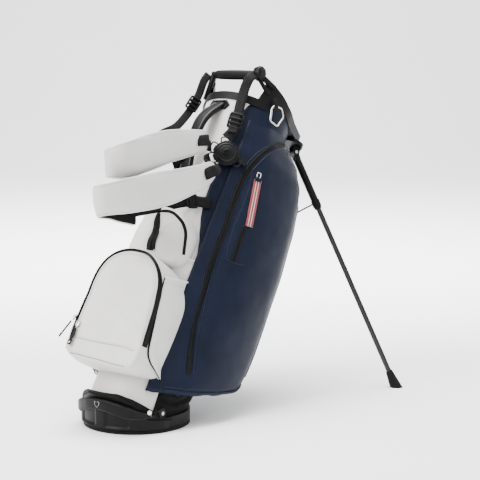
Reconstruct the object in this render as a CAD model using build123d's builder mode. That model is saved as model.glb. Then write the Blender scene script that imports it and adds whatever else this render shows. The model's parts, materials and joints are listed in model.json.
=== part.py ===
from build123d import *
import math
import os

# Golf stand bag, standing on its legs. Millimetres.
# Row frame: +Z up, origin at the centre of the base on the floor, +X the way the bag leans
# (towards the legs), -X the front with the ball pocket, -Y the near side.
# Bag frame: the same axes tipped back by LEAN about Y. Its (u, v, w) are: u from the bag's
# axis towards the legs, v along Y, w along the bag's axis.

# ---- driving dimensions ----
LEAN = 33.4               # lean of the bag on its legs, degrees
AXIS_X, AXIS_Z = 5.0, 47.0    # where the bag's axis meets the base

TUBE_R = 110.0            # outside of the panels
PANEL = 3.0               # padded panel thickness
LINER = 1.7
TUBE_TOP = 776.0          # top of the shell, along the axis

COLLAR_R = 114.0
COLLAR_TOP = 829.0
COLLAR_SIDE = 788.0       # lower edge at the sides
COLLAR_FRONT = 757.0      # lower edge of the front band
BAND_TOP = 778.0          # top edge of the front band
COLLAR_BACK = 768.0       # lower edge over the legs
COLLAR_REAR_TOP = 785.0   # top edge over the legs

SHOE_R = 124.0
SHOE_WALL = 5.0
SOLE = 8.0
SHOE_FLOOR = 14.0
RIM_REAR = 34.0           # height of the shoe's rear rim
HINGE_X, HINGE_Z = -45.0, 45.0
PIN_R = 4.0
RUN = 0.05                # radial running clearance

LEG_PIVOT = (126.0, -80.0, 746.0)     # near leg, bag frame
FOOT = (660.0, -305.0)                # near foot on the floor, row frame
LEG_R = 6.5
SLEEVE_R = 9.5
LINK_AT = 140.0           # distance of the link's joint from the leg's pivot
LINK_SIDE = 15.5          # the link's joint beside the leg's axis, towards the other leg
SLIDER_W = 484.0
ROD_U = 118.0
ROD_R = 3.0

os.makedirs("parts", exist_ok=True)
TILT = math.radians(LEAN)
BAG = Plane(
    origin=(AXIS_X, 0, AXIS_Z),
    x_dir=(math.cos(TILT), 0, -math.sin(TILT)),
    z_dir=(math.sin(TILT), 0, math.cos(TILT)),
)


def bag_point(u, v, w):
    """Row coordinates of a point of the bag frame."""
    return BAG.from_local_coords(Vector(u, v, w))


def bag_direction(direction):
    """Row direction of a direction of the bag frame."""
    return BAG.from_local_coords(Vector(*direction)) - BAG.origin


def across(w):
    """Plane square to the bag's axis at height w, with x towards the legs."""
    return BAG.offset(w)


def bag_plane(at, x_dir, z_dir):
    """Any plane whose origin and axes are given in the bag frame."""
    return Plane(origin=bag_point(*at), x_dir=bag_direction(x_dir), z_dir=bag_direction(z_dir))


def side_view(v):
    """Plane facing the near side: x is u and y is w."""
    return bag_plane((0, v, 0), (1, 0, 0), (0, -1, 0))


def front_view(u):
    """Plane facing the front: x is -v and y is w."""
    return bag_plane((u, 0, 0), (0, -1, 0), (-1, 0, 0))


def along(start, end, width_dir=None):
    """Plane at start whose z points at end, both in row coordinates."""
    z_dir = (end - start).normalized()
    if width_dir is None:
        width_dir = z_dir.cross(Vector(0.3, 1, 0.2))
    x_dir = (width_dir - z_dir * width_dir.dot(z_dir)).normalized()
    return Plane(origin=start, x_dir=x_dir, z_dir=z_dir)


def save(shape, name):
    shape.label = name
    export_step(shape, "parts/" + name + ".step")


# ---- the space the shell leaves for the hinged base ----
SHELL_REAR_Z = 78.0
SHELL_FRONT_Z = 40.0
with BuildPart() as below_shell:
    with BuildSketch(Plane.XY.offset(-150)):
        Rectangle(700, 700)
    extrude(amount=150 + SHELL_REAR_Z)
    with BuildSketch(Plane.XY.offset(SHELL_FRONT_Z)):
        Circle(SHOE_R - SHOE_WALL - 4)
        with Locations((220, 0)):
            Rectangle(400, 400, mode=Mode.SUBTRACT)
    extrude(amount=SHELL_REAR_Z - SHELL_FRONT_Z + 1, mode=Mode.SUBTRACT)

BOSS_R = 8.0
with BuildPart() as hinge_clear:
    with BuildSketch(Plane.XZ.offset(-140)):
        with Locations((HINGE_X, HINGE_Z)):
            Circle(BOSS_R + 1)
    extrude(amount=280)

# ---- shell: liner, four outer panels, stays ----
LINER_R = TUBE_R - PANEL - 0.3
with BuildPart() as inner_liner:
    with BuildSketch(across(-60)):
        Circle(LINER_R)
        Circle(LINER_R - LINER, mode=Mode.SUBTRACT)
    extrude(amount=60 + TUBE_TOP)
    add(below_shell.part, mode=Mode.SUBTRACT)
    add(hinge_clear.part, mode=Mode.SUBTRACT)
save(inner_liner.part, "inner_liner")

PANELS = {
    "front_panel": (136.0, 88.0, TUBE_TOP),
    "side_panel_near": (224.4, 105.3, COLLAR_TOP - 19),
    "side_panel_far": (30.3, 105.3, COLLAR_TOP - 19),
    "back_panel": (-29.9, 59.8, COLLAR_TOP - 19),
}
with BuildPart() as above_panels:
    # the side and back panels end under the falling lip of the collar
    with BuildSketch(side_view(200)):
        with BuildLine():
            Polyline((-200, 810), (-58, 810), (0, 798), (60, 786), (200, 776.8), (200, 900), (-200, 900), close=True)
        make_face()
    extrude(amount=400)
for panel_name, (start_angle, arc_size, top) in PANELS.items():
    with BuildPart() as panel:
        with BuildSketch(across(-60)):
            with BuildLine():
                CenterArc((0, 0), TUBE_R - PANEL / 2, start_angle, arc_size)
            trace(line_width=PANEL)
        extrude(amount=60 + top)
        add(below_shell.part, mode=Mode.SUBTRACT)
        add(hinge_clear.part, mode=Mode.SUBTRACT)
        add(above_panels.part, mode=Mode.SUBTRACT)
    save(panel.part, panel_name)

STAY_R = 3.0
STAY_AT = LINER_R - LINER - STAY_R - 0.3
with BuildPart() as shell_stays:
    with BuildSketch(across(112)):
        with PolarLocations(STAY_AT, 3):
            Circle(STAY_R)
    extrude(amount=TUBE_TOP - 112 - 30)
save(shell_stays.part, "shell_stays")

# ---- closed bottom that the clubs rest in ----
CUP_R = LINER_R - LINER - 0.5
CUP_WALL = 4.0
with BuildPart() as bottom_cup:
    with BuildSketch(across(-57)):
        Circle(CUP_R)
    extrude(amount=157)
    with BuildSketch(Plane.XY.offset(18)):
        Circle(SHOE_R - SHOE_WALL - 8)
    extrude(amount=72, mode=Mode.INTERSECT)
    with BuildSketch(Plane.XZ.offset(-106)):
        with Locations((HINGE_X, HINGE_Z)):
            Circle(BOSS_R)
    extrude(amount=212)
with BuildPart() as cup_hollow:
    with BuildSketch(across(-57 + CUP_WALL)):
        Circle(CUP_R - CUP_WALL - 3)
    extrude(amount=200)
    with BuildSketch(Plane.XY.offset(18 + CUP_WALL)):
        Circle(SHOE_R - SHOE_WALL - 12)
    extrude(amount=120, mode=Mode.INTERSECT)
with BuildPart() as hinge_bore:
    with BuildSketch(Plane.XZ.offset(-140)):
        with Locations((HINGE_X, HINGE_Z)):
            Circle(PIN_R + RUN)
    extrude(amount=280)
cup = bottom_cup.part - cup_hollow.part - hinge_bore.part
save(cup, "bottom_cup")

# ---- hinged base: shoe, sole, pins, handle, studs, badge, gusset ----
LUG_X = SHOE_R + 24
with BuildPart() as base_shoe:
    with BuildSketch(Plane.XY.offset(SOLE + 0.2)):
        Circle(SHOE_R)
    extrude(amount=98 - SOLE)
    with BuildSketch(Plane.XY.offset(SHOE_FLOOR)):
        Circle(SHOE_R - SHOE_WALL)
    extrude(amount=120, mode=Mode.SUBTRACT)
    # the rim falls from the toe to the hinge, then runs level round the back
    with BuildSketch(Plane.XZ.offset(-150)):
        with BuildLine():
            Polyline((-150, 96), (-116, 92), (-100, 82), (-57, 46), (-34, RIM_REAR), (150, RIM_REAR),
                     (150, 200), (-150, 200), close=True)
        make_face()
    extrude(amount=300, mode=Mode.SUBTRACT)
    # ears for the hinge pins
    for side in (-1, 1):
        with BuildSketch(Plane(origin=(HINGE_X, side * 110.6, HINGE_Z), x_dir=(1, 0, 0), z_dir=(0, side, 0))):
            Circle(11)
        extrude(amount=5.6)
    # lug that pushes the actuator rod
    with BuildSketch(Plane.XY.offset(RIM_REAR - 12)):
        with Locations(((LUG_X + SHOE_R - 4) / 2, 0)):
            Rectangle(LUG_X - SHOE_R + 4, 22)
    extrude(amount=12)
shoe = base_shoe.part - hinge_bore.part
save(shoe, "base_shoe")

with BuildPart() as base_sole:
    with BuildSketch():
        Circle(SHOE_R)
    extrude(amount=SOLE)
    fillet(base_sole.edges().group_by(Axis.Z)[-1], 1.5)
save(base_sole.part, "base_sole")

with BuildPart() as base_pivot_pins:
    for side in (-1, 1):
        with BuildSketch(Plane(origin=(HINGE_X, side * 93, HINGE_Z), x_dir=(1, 0, 0), z_dir=(0, side, 0))):
            Circle(PIN_R)
        extrude(amount=24.5)
save(base_pivot_pins.part, "base_pivot_pins")

HANDLE_Z = 68.0
HANDLE_H = 24.0
with BuildPart() as base_handle:
    with BuildSketch(Plane.XY.offset(HANDLE_Z - HANDLE_H / 2)):
        with BuildLine():
            ThreePointArc((-66, -109), (-134, 0), (-66, 109))
        trace(line_width=4)
    extrude(amount=HANDLE_H)
    # the strap follows the falling rim towards its studs
    with BuildSketch(Plane.XZ.offset(-150)):
        with BuildLine():
            Polyline((-150, 86), (-112, 82), (-50, 44), (-50, 120), (-150, 120), close=True)
        make_face()
    extrude(amount=300, mode=Mode.SUBTRACT)
save(base_handle.part, "base_handle")

with BuildPart() as base_studs:
    for side in (-1, 1):
        stud_plane = Plane(origin=(-75.5, side * 101.5, 52), x_dir=(0, 0, 1), z_dir=(-0.6, side * 0.8, 0))
        with BuildSketch(stud_plane.offset(4.9)):
            Circle(5)
        extrude(amount=3)
save(base_studs.part, "base_studs")

with BuildPart() as base_badge:
    with BuildSketch(Plane(origin=(-136.3, 0, 68), x_dir=(0, -1, 0), z_dir=(-1, 0, 0))):
        RegularPolygon(9, 6)
    extrude(amount=2)
save(base_badge.part, "base_badge")

GUSSET_R = SHOE_R - SHOE_WALL - 1
with BuildPart() as base_gusset:
    with BuildSketch(Plane.XY.offset(SHOE_FLOOR + 6)):
        with BuildLine():
            CenterArc((0, 0), GUSSET_R - 1, -106, 212)
        trace(line_width=2)
    extrude(amount=SHELL_REAR_Z - SHOE_FLOOR - 12)
save(base_gusset.part - hinge_clear.part, "base_gusset")

# ---- top collar with the front band, side walls and rear lift handle ----
REAR_X, REAR_Y, REAR_R = 106.0, 62.0, 28.0


def collar_outline(grow):
    """Outer plan of the collar, round in front and square over the legs."""
    with BuildSketch(mode=Mode.PRIVATE) as plan:
        Circle(COLLAR_R + grow)
        with Locations((REAR_X, -REAR_Y), (REAR_X, REAR_Y)):
            Circle(REAR_R + grow)
        make_hull()
    return plan.sketch


with BuildPart() as collar_lip:
    with BuildSketch(across(TUBE_TOP + 1)):
        Circle(TUBE_R + 0.3)
        Circle(TUBE_R - 6, mode=Mode.SUBTRACT)
    extrude(amount=COLLAR_TOP - TUBE_TOP - 1)
    with BuildSketch(side_view(200)):
        with BuildLine():
            Polyline((-200, 810.4), (-58, 810.4), (0, 798.4), (60, 786.4), (200, 777.2), (200, 700), (-200, 700),
                     close=True)
        make_face()
    extrude(amount=400, mode=Mode.SUBTRACT)

with BuildPart() as top_collar:
    with BuildSketch(across(COLLAR_FRONT)):
        add(collar_outline(0))
        Circle(TUBE_R + 0.3, mode=Mode.SUBTRACT)
    extrude(amount=COLLAR_TOP - COLLAR_FRONT)
    add(collar_lip.part)
    # low front band under the lift handle, arched lower edge at the sides
    with BuildSketch(side_view(200)):
        with BuildLine():
            Polyline((-160, BAND_TOP), (-78, BAND_TOP), (-58, 900), (-160, 900), close=True)
        make_face()
        with BuildLine():
            Polyline((-72, 700), (-50, COLLAR_SIDE), (-15, COLLAR_SIDE - 3), (25, COLLAR_BACK + 2),
                     (45, COLLAR_BACK), (200, COLLAR_BACK), (200, 700), close=True)
        make_face()
        # the top edge falls towards the legs
        with BuildLine():
            Polyline((-58, COLLAR_TOP), (0, 806), (60, 793), (200, COLLAR_REAR_TOP), (200, 900), (-58, 900),
                     close=True)
        make_face()
    extrude(amount=400, mode=Mode.SUBTRACT)
    # finger gap of the rear handle
    with BuildSketch(across(600)):
        with Locations((TUBE_R + 9, 0)):
            RectangleRounded(12, 84, 5.5)
    extrude(amount=400, mode=Mode.SUBTRACT)
save(top_collar.part, "top_collar")

BAR_U, BAR_W = -97.0, 835.0
BAR_NEAR, BAR_FAR = -80.0, 72.0
BAR_R = 8.0
with BuildPart() as shell_core:
    with BuildSketch(across(600)):
        Circle(TUBE_R + 0.4)
    extrude(amount=COLLAR_TOP - 18.6 - 600)

with BuildPart() as front_handle:
    with BuildSketch(along(bag_point(BAR_U, BAR_NEAR, BAR_W), bag_point(BAR_U, BAR_FAR, BAR_W))):
        Circle(BAR_R)
    extrude(amount=BAR_FAR - BAR_NEAR)
    struts = [
        ((BAR_U + 3, BAR_NEAR + 5, BAR_W), (-58, -98, COLLAR_TOP - 7), 7.0),
        ((BAR_U, BAR_NEAR + 8, BAR_W - 8), (-66, -93, 800), 5.0),
        ((BAR_U, BAR_FAR - 3, BAR_W), (-82, 78, BAND_TOP - 8), 7.0),
        ((BAR_U + 3, BAR_FAR - 5, BAR_W), (-58, 98, COLLAR_TOP - 7), 6.0),
    ]
    for strut_start, strut_end, strut_r in struts:
        low, high = bag_point(*strut_start), bag_point(*strut_end)
        with BuildSketch(along(low, high)):
            Circle(strut_r)
        extrude(amount=(high - low).length)
    add(top_collar.part, mode=Mode.SUBTRACT)
    add(shell_core.part, mode=Mode.SUBTRACT)
save(front_handle.part, "front_handle")

with BuildPart() as grip_wrap:
    with BuildSketch(along(bag_point(BAR_U, -62, BAR_W), bag_point(BAR_U, 60, BAR_W))):
        Circle(BAR_R + 3.5)
        Circle(BAR_R + 0.2, mode=Mode.SUBTRACT)
    extrude(amount=122)
    add(front_handle.part, mode=Mode.SUBTRACT)
save(grip_wrap.part, "grip_wrap")

with BuildPart() as collar_badge:
    with BuildSketch(front_view(-TUBE_R - 0.6)):
        with Locations((4, 744)):
            RectangleRounded(44, 20, 6)
    extrude(amount=3)
save(collar_badge.part, "collar_badge")

# ---- club dividers: a moulded top frame and full-length sleeves ----
DIVIDER_TOP = 772.0
DIVIDER_DEPTH = 22.0
DIVIDER_R = LINER_R - LINER - 0.4
BAR_T = 8.0
FRONT_BAR, REAR_BAR = -34.0, 34.0
with BuildPart() as divider_frame:
    with BuildSketch(across(DIVIDER_TOP - DIVIDER_DEPTH)):
        Circle(DIVIDER_R)
        Circle(DIVIDER_R - 5, mode=Mode.SUBTRACT)
        for bar_u in (FRONT_BAR, REAR_BAR):
            with Locations((bar_u, 0)):
                Rectangle(BAR_T, 192)
        with Locations(((FRONT_BAR + DIVIDER_R) / 2, 0)):
            Rectangle(DIVIDER_R - FRONT_BAR - 2, BAR_T)
    extrude(amount=DIVIDER_DEPTH)
save(divider_frame.part, "divider_frame")

SLEEVE_T = 1.5
SLEEVE_BOTTOM = 118.0
with BuildPart() as divider_sleeves:
    with BuildSketch(across(SLEEVE_BOTTOM)):
        with Locations((FRONT_BAR, 0)):
            Rectangle(SLEEVE_T, 184)
        for side in (-1, 1):
            with Locations((REAR_BAR, side * 46.6)):
                Rectangle(SLEEVE_T, 91)
        with Locations(((FRONT_BAR + 92) / 2 + 1, 0)):
            Rectangle(92 - FRONT_BAR - 2.5, SLEEVE_T)
    extrude(amount=DIVIDER_TOP - DIVIDER_DEPTH - SLEEVE_BOTTOM - 0.3)
save(divider_sleeves.part, "divider_sleeves")

# ---- full-length apparel pockets ----
POCKET_CORNERS = [(-47, 118), (4, 156), (112, 162), (154, 131), (149, 104)]
POCKET_FRONT = (-57.0, 97.0)
POCKET_BACK = (80.0, 79.0)
POCKET_TAPER = 565.0
POCKET_TOP = 738.0


def pocket_plan(side, swell):
    """Plan of an apparel pocket; swell 1 is full, 0 lies on the tube."""
    points = [POCKET_FRONT]
    for u, v in POCKET_CORNERS:
        rest = (TUBE_R + 2) / math.hypot(u, v)
        points.append((u * (rest + (1 - rest) * swell), v * (rest + (1 - rest) * swell)))
    points.append(POCKET_BACK)
    points.append((20, 60))
    with BuildSketch(mode=Mode.PRIVATE) as plan:
        with BuildLine():
            Polyline(*[(u, side * v) for u, v in points], close=True)
        make_face()
    return plan.sketch


with BuildPart() as pocket_arch:
    # the space above the arched zip, seen from the side
    with BuildSketch(side_view(300)):
        with BuildLine():
            Polyline((-130, 560), (-78, 572), (-50, 628), (-20, 674), (20, 710), (60, 722), (200, 722),
                     (200, 900), (-130, 900), close=True)
        make_face()
    extrude(amount=600)
with BuildPart() as below_pockets:
    # the space under the pockets, nearly level when the bag leans
    with BuildSketch(Plane.XZ.offset(-300)):
        with BuildLine():
            Polyline((-300, 148), (300, 42), (300, -300), (-300, -300), close=True)
        make_face()
    extrude(amount=600)
with BuildPart() as tube_core:
    with BuildSketch(across(-100)):
        Circle(TUBE_R + 0.3)
    extrude(amount=1000)

for side, side_name in ((-1, "near"), (1, "far")):
    with BuildPart() as apparel_pocket:
        with BuildSketch(across(-40)):
            add(pocket_plan(side, 1))
        extrude(amount=POCKET_TAPER + 40)
        fillet(apparel_pocket.edges().filter_by(Axis(BAG.origin, BAG.z_dir)).group_by(
            SortBy.LENGTH)[-1].filter_by(lambda edge: abs(edge.center().Y) > 112), 16)
        with BuildSketch(across(POCKET_TAPER)):
            add(pocket_plan(side, 0.96))
        with BuildSketch(across(POCKET_TOP)):
            add(pocket_plan(side, 0.1))
        loft()
    pocket = apparel_pocket.part - pocket_arch.part - below_pockets.part - tube_core.part
    save(pocket, "apparel_pocket_" + side_name)

    with BuildPart() as apparel_zipper:
        with BuildSketch(across(66)):
            with BuildLine():
                Line((-55.6, side * 103.6), (-51.4, side * 112.6))
            trace(line_width=2)
        extrude(amount=490)
    save(apparel_zipper.part, "apparel_zipper_" + side_name)

# ---- ball pocket, upper pocket and side sleeve on the front ----
BALL_FRONT = -198.0
BALL_HALF = 95.0
BALL_BOTTOM, BALL_TOP = 24.0, 300.0


def arch(half, bottom, top, corner, grow=0.0):
    """Front outline of a pocket: level foot and a round top."""
    with BuildSketch(mode=Mode.PRIVATE) as outline:
        with Locations((0, (bottom + top) / 2)):
            Rectangle(2 * half + 2 * grow, top - bottom + 2 * grow)
        fillet(outline.vertices().group_by(Axis.Y)[-1], corner + grow)
        fillet(outline.vertices().group_by(Axis.Y)[0], 14)
    return outline.sketch


with BuildPart() as pocket_flanks:
    # the pocket narrows from its front towards the tube
    for side in (-1, 1):
        with BuildSketch(across(-50)):
            with BuildLine():
                Polyline((-150, side * 97), (-60, side * 97), (-60, side * 50), (-74, side * 79), close=True)
            make_face()
        extrude(amount=500)
with BuildPart() as ball_pocket_block:
    with BuildSketch(front_view(-60)):
        add(arch(BALL_HALF, BALL_BOTTOM, BALL_TOP, 66))
    extrude(amount=-BALL_FRONT - 60)
    fillet(ball_pocket_block.faces().sort_by(Axis(BAG.origin, BAG.x_dir))[0].edges(), 13)
with BuildPart() as under_ball_pocket:
    with BuildSketch(side_view(200)):
        with BuildLine():
            Polyline((-122, -20), (-126, 27), (-104, 30), (-40, 42), (-40, -20), close=True)
        make_face()
    extrude(amount=400)
ball = ball_pocket_block.part - pocket_flanks.part - under_ball_pocket.part - tube_core.part
save(ball, "ball_pocket")

with BuildPart() as ball_pocket_zipper:
    with BuildSketch(front_view(-158)):
        add(arch(BALL_HALF, 84, BALL_TOP, 66, 2.6))
        add(arch(BALL_HALF, 70, BALL_TOP, 66, 0.3), mode=Mode.SUBTRACT)
        with Locations((0, 80)):
            Rectangle(300, 20, mode=Mode.SUBTRACT)
    extrude(amount=12)
save(ball_pocket_zipper.part, "ball_pocket_zipper")

UPPER_FRONT = -168.0
with BuildPart() as upper_block:
    with BuildSketch(front_view(-60)):
        add(arch(74, BALL_TOP + 4, 446, 56))
    extrude(amount=-UPPER_FRONT - 60)
    fillet(upper_block.faces().sort_by(Axis(BAG.origin, BAG.x_dir))[0].edges(), 12)
save(upper_block.part - tube_core.part, "upper_pocket")

with BuildPart() as upper_pocket_zipper:
    with BuildSketch(front_view(-142)):
        add(arch(74, 330, 446, 56, 2.4))
        add(arch(74, 320, 446, 56, 0.3), mode=Mode.SUBTRACT)
        with Locations((0, 322)):
            Rectangle(300, 20, mode=Mode.SUBTRACT)
    extrude(amount=8)
save(upper_pocket_zipper.part, "upper_pocket_zipper")

with BuildPart() as side_sleeve_pocket:
    with BuildSketch(across(66)):
        with BuildLine():
            Line((-142, -98.8), (-82, -86.4))
        trace(line_width=3)
    extrude(amount=200)
save(side_sleeve_pocket.part, "side_sleeve_pocket")

with BuildPart() as woven_tag:
    with BuildSketch(across(318)):
        with BuildLine():
            CenterArc((0, 0), TUBE_R + 1.2, 223, 6.5)
        trace(line_width=1.6)
    extrude(amount=7)
save(woven_tag.part, "woven_tag")

# ---- small zipped pocket on the near apparel pocket ----
SMALL_NORMAL = (-0.6, -0.8, 0)
SMALL_OFFSET = 122.6
small_plane = bag_plane((-0.6 * SMALL_OFFSET, -0.8 * SMALL_OFFSET, 0), (0.8, -0.6, 0), SMALL_NORMAL)
with BuildPart() as valuables_zipper:
    with BuildSketch(small_plane.offset(0.4)):
        with BuildLine():
            Polyline((42, 452), (54, 452), (83, 366), (71, 366), close=True)
        make_face()
    extrude(amount=1.6)
save(valuables_zipper.part, "valuables_zipper")

# ---- soft spine handle and hip pad ----
with BuildPart() as spine_handle:
    with BuildSketch(side_view(13)):
        with BuildLine():
            FilletPolyline((-115.5, 752), (-121, 728), (-170, 664), (-176, 606), (-121, 520), (-115.5, 496),
                           radius=[30, 50, 60, 30])
        trace(line_width=8)
    extrude(amount=26)
save(spine_handle.part - tube_core.part - collar_badge.part, "spine_handle")

with BuildPart() as hip_pad:
    with BuildSketch(across(330)):
        for start_angle in (7, -35):
            with BuildLine():
                CenterArc((0, 0), TUBE_R + 4.6, start_angle, 28)
            trace(line_width=8)
    extrude(amount=140)
save(hip_pad.part, "hip_pad")

# ---- legs ----


def mirror_y(vector):
    return Vector(vector.X, -vector.Y, vector.Z)


pivot = bag_point(*LEG_PIVOT)
foot_point = Vector(FOOT[0], FOOT[1], 0)
LEG_LENGTH = (foot_point - pivot).length
leg_dir = (foot_point - pivot).normalized()
folded_dir = bag_direction((0, 0.075, -0.997)).normalized()
leg_axis = leg_dir.cross(folded_dir).normalized()

EYE = 16.0                # width of the leg's eye between the ears
EAR = 5.0
for side_name in ("near", "far"):
    at = pivot if side_name == "near" else mirror_y(pivot)
    to = leg_dir if side_name == "near" else mirror_y(leg_dir)
    axis = leg_axis if side_name == "near" else mirror_y(leg_axis)
    with BuildPart() as leg_sleeve:
        with BuildSketch(along(at + to * 11, at + to * LEG_LENGTH)):
            Circle(SLEEVE_R)
        extrude(amount=LINK_AT + 4)
        with BuildSketch(Plane(origin=at - axis * (EYE / 2), x_dir=to, z_dir=axis)):
            Circle(9)
            with Locations((10, 0)):
                Rectangle(20, 15)
        extrude(amount=EYE)
        with BuildSketch(Plane(origin=at - axis * 20, x_dir=to, z_dir=axis)):
            Circle(PIN_R + RUN)
        extrude(amount=40, mode=Mode.SUBTRACT)
        with BuildSketch(along(at + to * 22, at + to * LEG_LENGTH)):
            Circle(LEG_R + 0.1)
        extrude(amount=200, mode=Mode.SUBTRACT)
        # clamp that takes the link
        with BuildSketch(along(at + to * (LINK_AT - 9), at + to * LEG_LENGTH)):
            Circle(SLEEVE_R + 1.5)
            Circle(SLEEVE_R - 0.5, mode=Mode.SUBTRACT)
        extrude(amount=18)
    save(leg_sleeve.part, "leg_sleeve_" + side_name)

    with BuildPart() as leg_tube:
        with BuildSketch(along(at + to * 22.3, at + to * LEG_LENGTH)):
            Circle(LEG_R)
            Circle(LEG_R - 1.5, mode=Mode.SUBTRACT)
        extrude(amount=LEG_LENGTH - 22.3 - 22)
    save(leg_tube.part, "leg_tube_" + side_name)

    FOOT_START = LEG_LENGTH - 46
    with BuildPart() as leg_foot:
        with BuildSketch(along(at + to * FOOT_START, at + to * LEG_LENGTH)):
            Circle(LEG_R + 2)
        with BuildSketch(along(at + to * (LEG_LENGTH + 14), at + to * (LEG_LENGTH + 90))):
            Circle(17)
        loft()
        with BuildSketch(along(at + to * (FOOT_START - 1), at + to * LEG_LENGTH)):
            Circle(LEG_R + 0.1)
        extrude(amount=25, mode=Mode.SUBTRACT)
        with BuildSketch():
            with Locations((FOOT[0], 0)):
                Rectangle(300, 900)
        extrude(amount=-100, mode=Mode.SUBTRACT)
    save(leg_foot.part, "leg_foot_" + side_name)

# ears, plate and pins that carry the legs under the collar
with BuildPart() as leg_bracket:
    with BuildSketch(across(COLLAR_BACK - 9.3)):
        with Locations((112, -78), (112, 78)):
            Circle(26)
        make_hull()
        Circle(TUBE_R + 0.3, mode=Mode.SUBTRACT)
        with Locations((TUBE_R + 9, 0)):
            RectangleRounded(14, 84, 6.5, mode=Mode.SUBTRACT)
    extrude(amount=9)
    for flip in (1, -1):
        at = pivot if flip > 0 else mirror_y(pivot)
        axis = leg_axis if flip > 0 else mirror_y(leg_axis)
        up = bag_direction((-0.2, 0, 1))
        up = (up - axis * up.dot(axis)).normalized()
        for end in (-1, 1):
            face = at + axis * (end * (EYE / 2 + 0.5))
            with BuildSketch(Plane(origin=face, x_dir=up, z_dir=axis * end)):
                Circle(9)
                with Locations((9, 0)):
                    Rectangle(18, 18)
            extrude(amount=EAR)
with BuildPart() as bracket_limits:
    with BuildSketch(across(600)):
        Rectangle(500, 500)
    extrude(amount=COLLAR_BACK - 0.3 - 600)
bracket = leg_bracket.part & bracket_limits.part
for flip in (1, -1):
    at = pivot if flip > 0 else mirror_y(pivot)
    axis = leg_axis if flip > 0 else mirror_y(leg_axis)
    with BuildPart() as pin_bore:
        with BuildSketch(Plane(origin=at - axis * 30, x_dir=(0, 0, 1), z_dir=axis)):
            Circle(PIN_R + RUN)
        extrude(amount=60)
    with BuildPart() as eye_room:
        with BuildSketch(Plane(origin=at - axis * (EYE / 2 + 0.5), x_dir=(0, 0, 1), z_dir=axis)):
            Circle(11)
        extrude(amount=EYE + 1)
    bracket = bracket - pin_bore.part - eye_room.part
bracket = bracket - tube_core.part
save(bracket, "leg_bracket")

with BuildPart() as leg_pivot_pins:
    for flip in (1, -1):
        at = pivot if flip > 0 else mirror_y(pivot)
        axis = leg_axis if flip > 0 else mirror_y(leg_axis)
        reach = EYE / 2 + EAR + 1.5
        with BuildSketch(Plane(origin=at - axis * reach, x_dir=(0, 0, 1), z_dir=axis)):
            Circle(PIN_R)
        extrude(amount=2 * reach)
save(leg_pivot_pins.part, "leg_pivot_pins")

# ---- actuator: rod with its slider, guides, and the two links to the legs ----
ROD_BOTTOM = 65.5
BLOCK = 20.0
LINK_PIVOT = (126.0, -16.5, SLIDER_W)
link_at = bag_point(*LINK_PIVOT)
leg_joint = pivot + leg_dir * LINK_AT + leg_axis * LINK_SIDE
link_length = (leg_joint - link_at).length
link_dir = (leg_joint - link_at).normalized()
folded_joint = pivot + folded_dir * LINK_AT + leg_axis * LINK_SIDE
# the slider's place when the legs are folded keeps the link's length
low_w, high_w = 200.0, SLIDER_W
for step in range(60):
    mid_w = (low_w + high_w) / 2
    reach = (folded_joint - bag_point(LINK_PIVOT[0], LINK_PIVOT[1], mid_w)).length
    if reach > link_length:
        low_w = mid_w
    else:
        high_w = mid_w
link_folded = (folded_joint - bag_point(LINK_PIVOT[0], LINK_PIVOT[1], low_w)).normalized()
link_axis = link_dir.cross(link_folded).normalized()

with BuildPart() as actuator_rod:
    with BuildSketch(across(ROD_BOTTOM)):
        with Locations((ROD_U, 0)):
            Circle(ROD_R)
    extrude(amount=SLIDER_W - ROD_BOTTOM)
    with BuildSketch(across(SLIDER_W - BLOCK / 2)):
        with Locations((125, 0)):
            RectangleRounded(22, 20, 3)
    extrude(amount=BLOCK)
    for flip in (1, -1):
        at = link_at if flip > 0 else mirror_y(link_at)
        axis = link_axis if flip > 0 else mirror_y(link_axis)
        if (at + axis * 5 - bag_point(125, 0, SLIDER_W)).length > (at - bag_point(125, 0, SLIDER_W)).length:
            axis = axis * -1
        with BuildSketch(Plane(origin=at - axis * 3.2, x_dir=(0, 0, 1), z_dir=axis)):
            Circle(2)
        extrude(amount=14)
save(actuator_rod.part, "actuator_rod")

with BuildPart() as rod_guide:
    for guide_w in (200, 560):
        with BuildSketch(across(guide_w)):
            with Locations((ROD_U, 0)):
                RectangleRounded(13, 14, 2)
                Circle(ROD_R + RUN, mode=Mode.SUBTRACT)
        extrude(amount=16)
save(rod_guide.part - tube_core.part, "rod_guide")

LINK_R = 2.2
for side_name in ("near", "far"):
    at = link_at if side_name == "near" else mirror_y(link_at)
    to = link_dir if side_name == "near" else mirror_y(link_dir)
    axis = link_axis if side_name == "near" else mirror_y(link_axis)
    with BuildPart() as link:
        with BuildSketch(Plane(origin=at - axis * 2.4, x_dir=to, z_dir=axis)):
            Circle(5)
            Circle(2 + RUN, mode=Mode.SUBTRACT)
        extrude(amount=4.8)
        with BuildSketch(along(at + to * 3.6, at + to * link_length)):
            Circle(LINK_R)
        extrude(amount=link_length - 6.6)
        with BuildSketch(Plane(origin=at + to * link_length - axis * 2.6, x_dir=to, z_dir=axis)):
            Circle(4.2)
            Circle(1.6, mode=Mode.SUBTRACT)
        extrude(amount=5.2)
    save(link.part, "link_" + side_name)

# ---- shoulder straps ----
PAD_T = 11.0


def pad_plane(origin, slope, drop):
    """Plane of a pad's loop in row coordinates; x runs forward and down, z is across its width."""
    fall = math.radians(slope)
    across_pad = (-math.sin(fall), 0, math.cos(fall))
    return Plane(origin=origin, x_dir=(-math.cos(fall), 0, -math.sin(fall)), z_dir=across_pad).offset(drop)


with BuildPart() as shoulder_pad_upper:
    with BuildSketch(pad_plane((190, 0, 654), 10.4, -35)):
        with BuildLine():
            FilletPolyline((0, 50), (130, 42), (283, 28), (283, -18), (78, -54), radius=[200, 20, 20])
        trace(line_width=PAD_T)
    extrude(amount=70)
save(shoulder_pad_upper.part, "shoulder_pad_upper")

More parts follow.
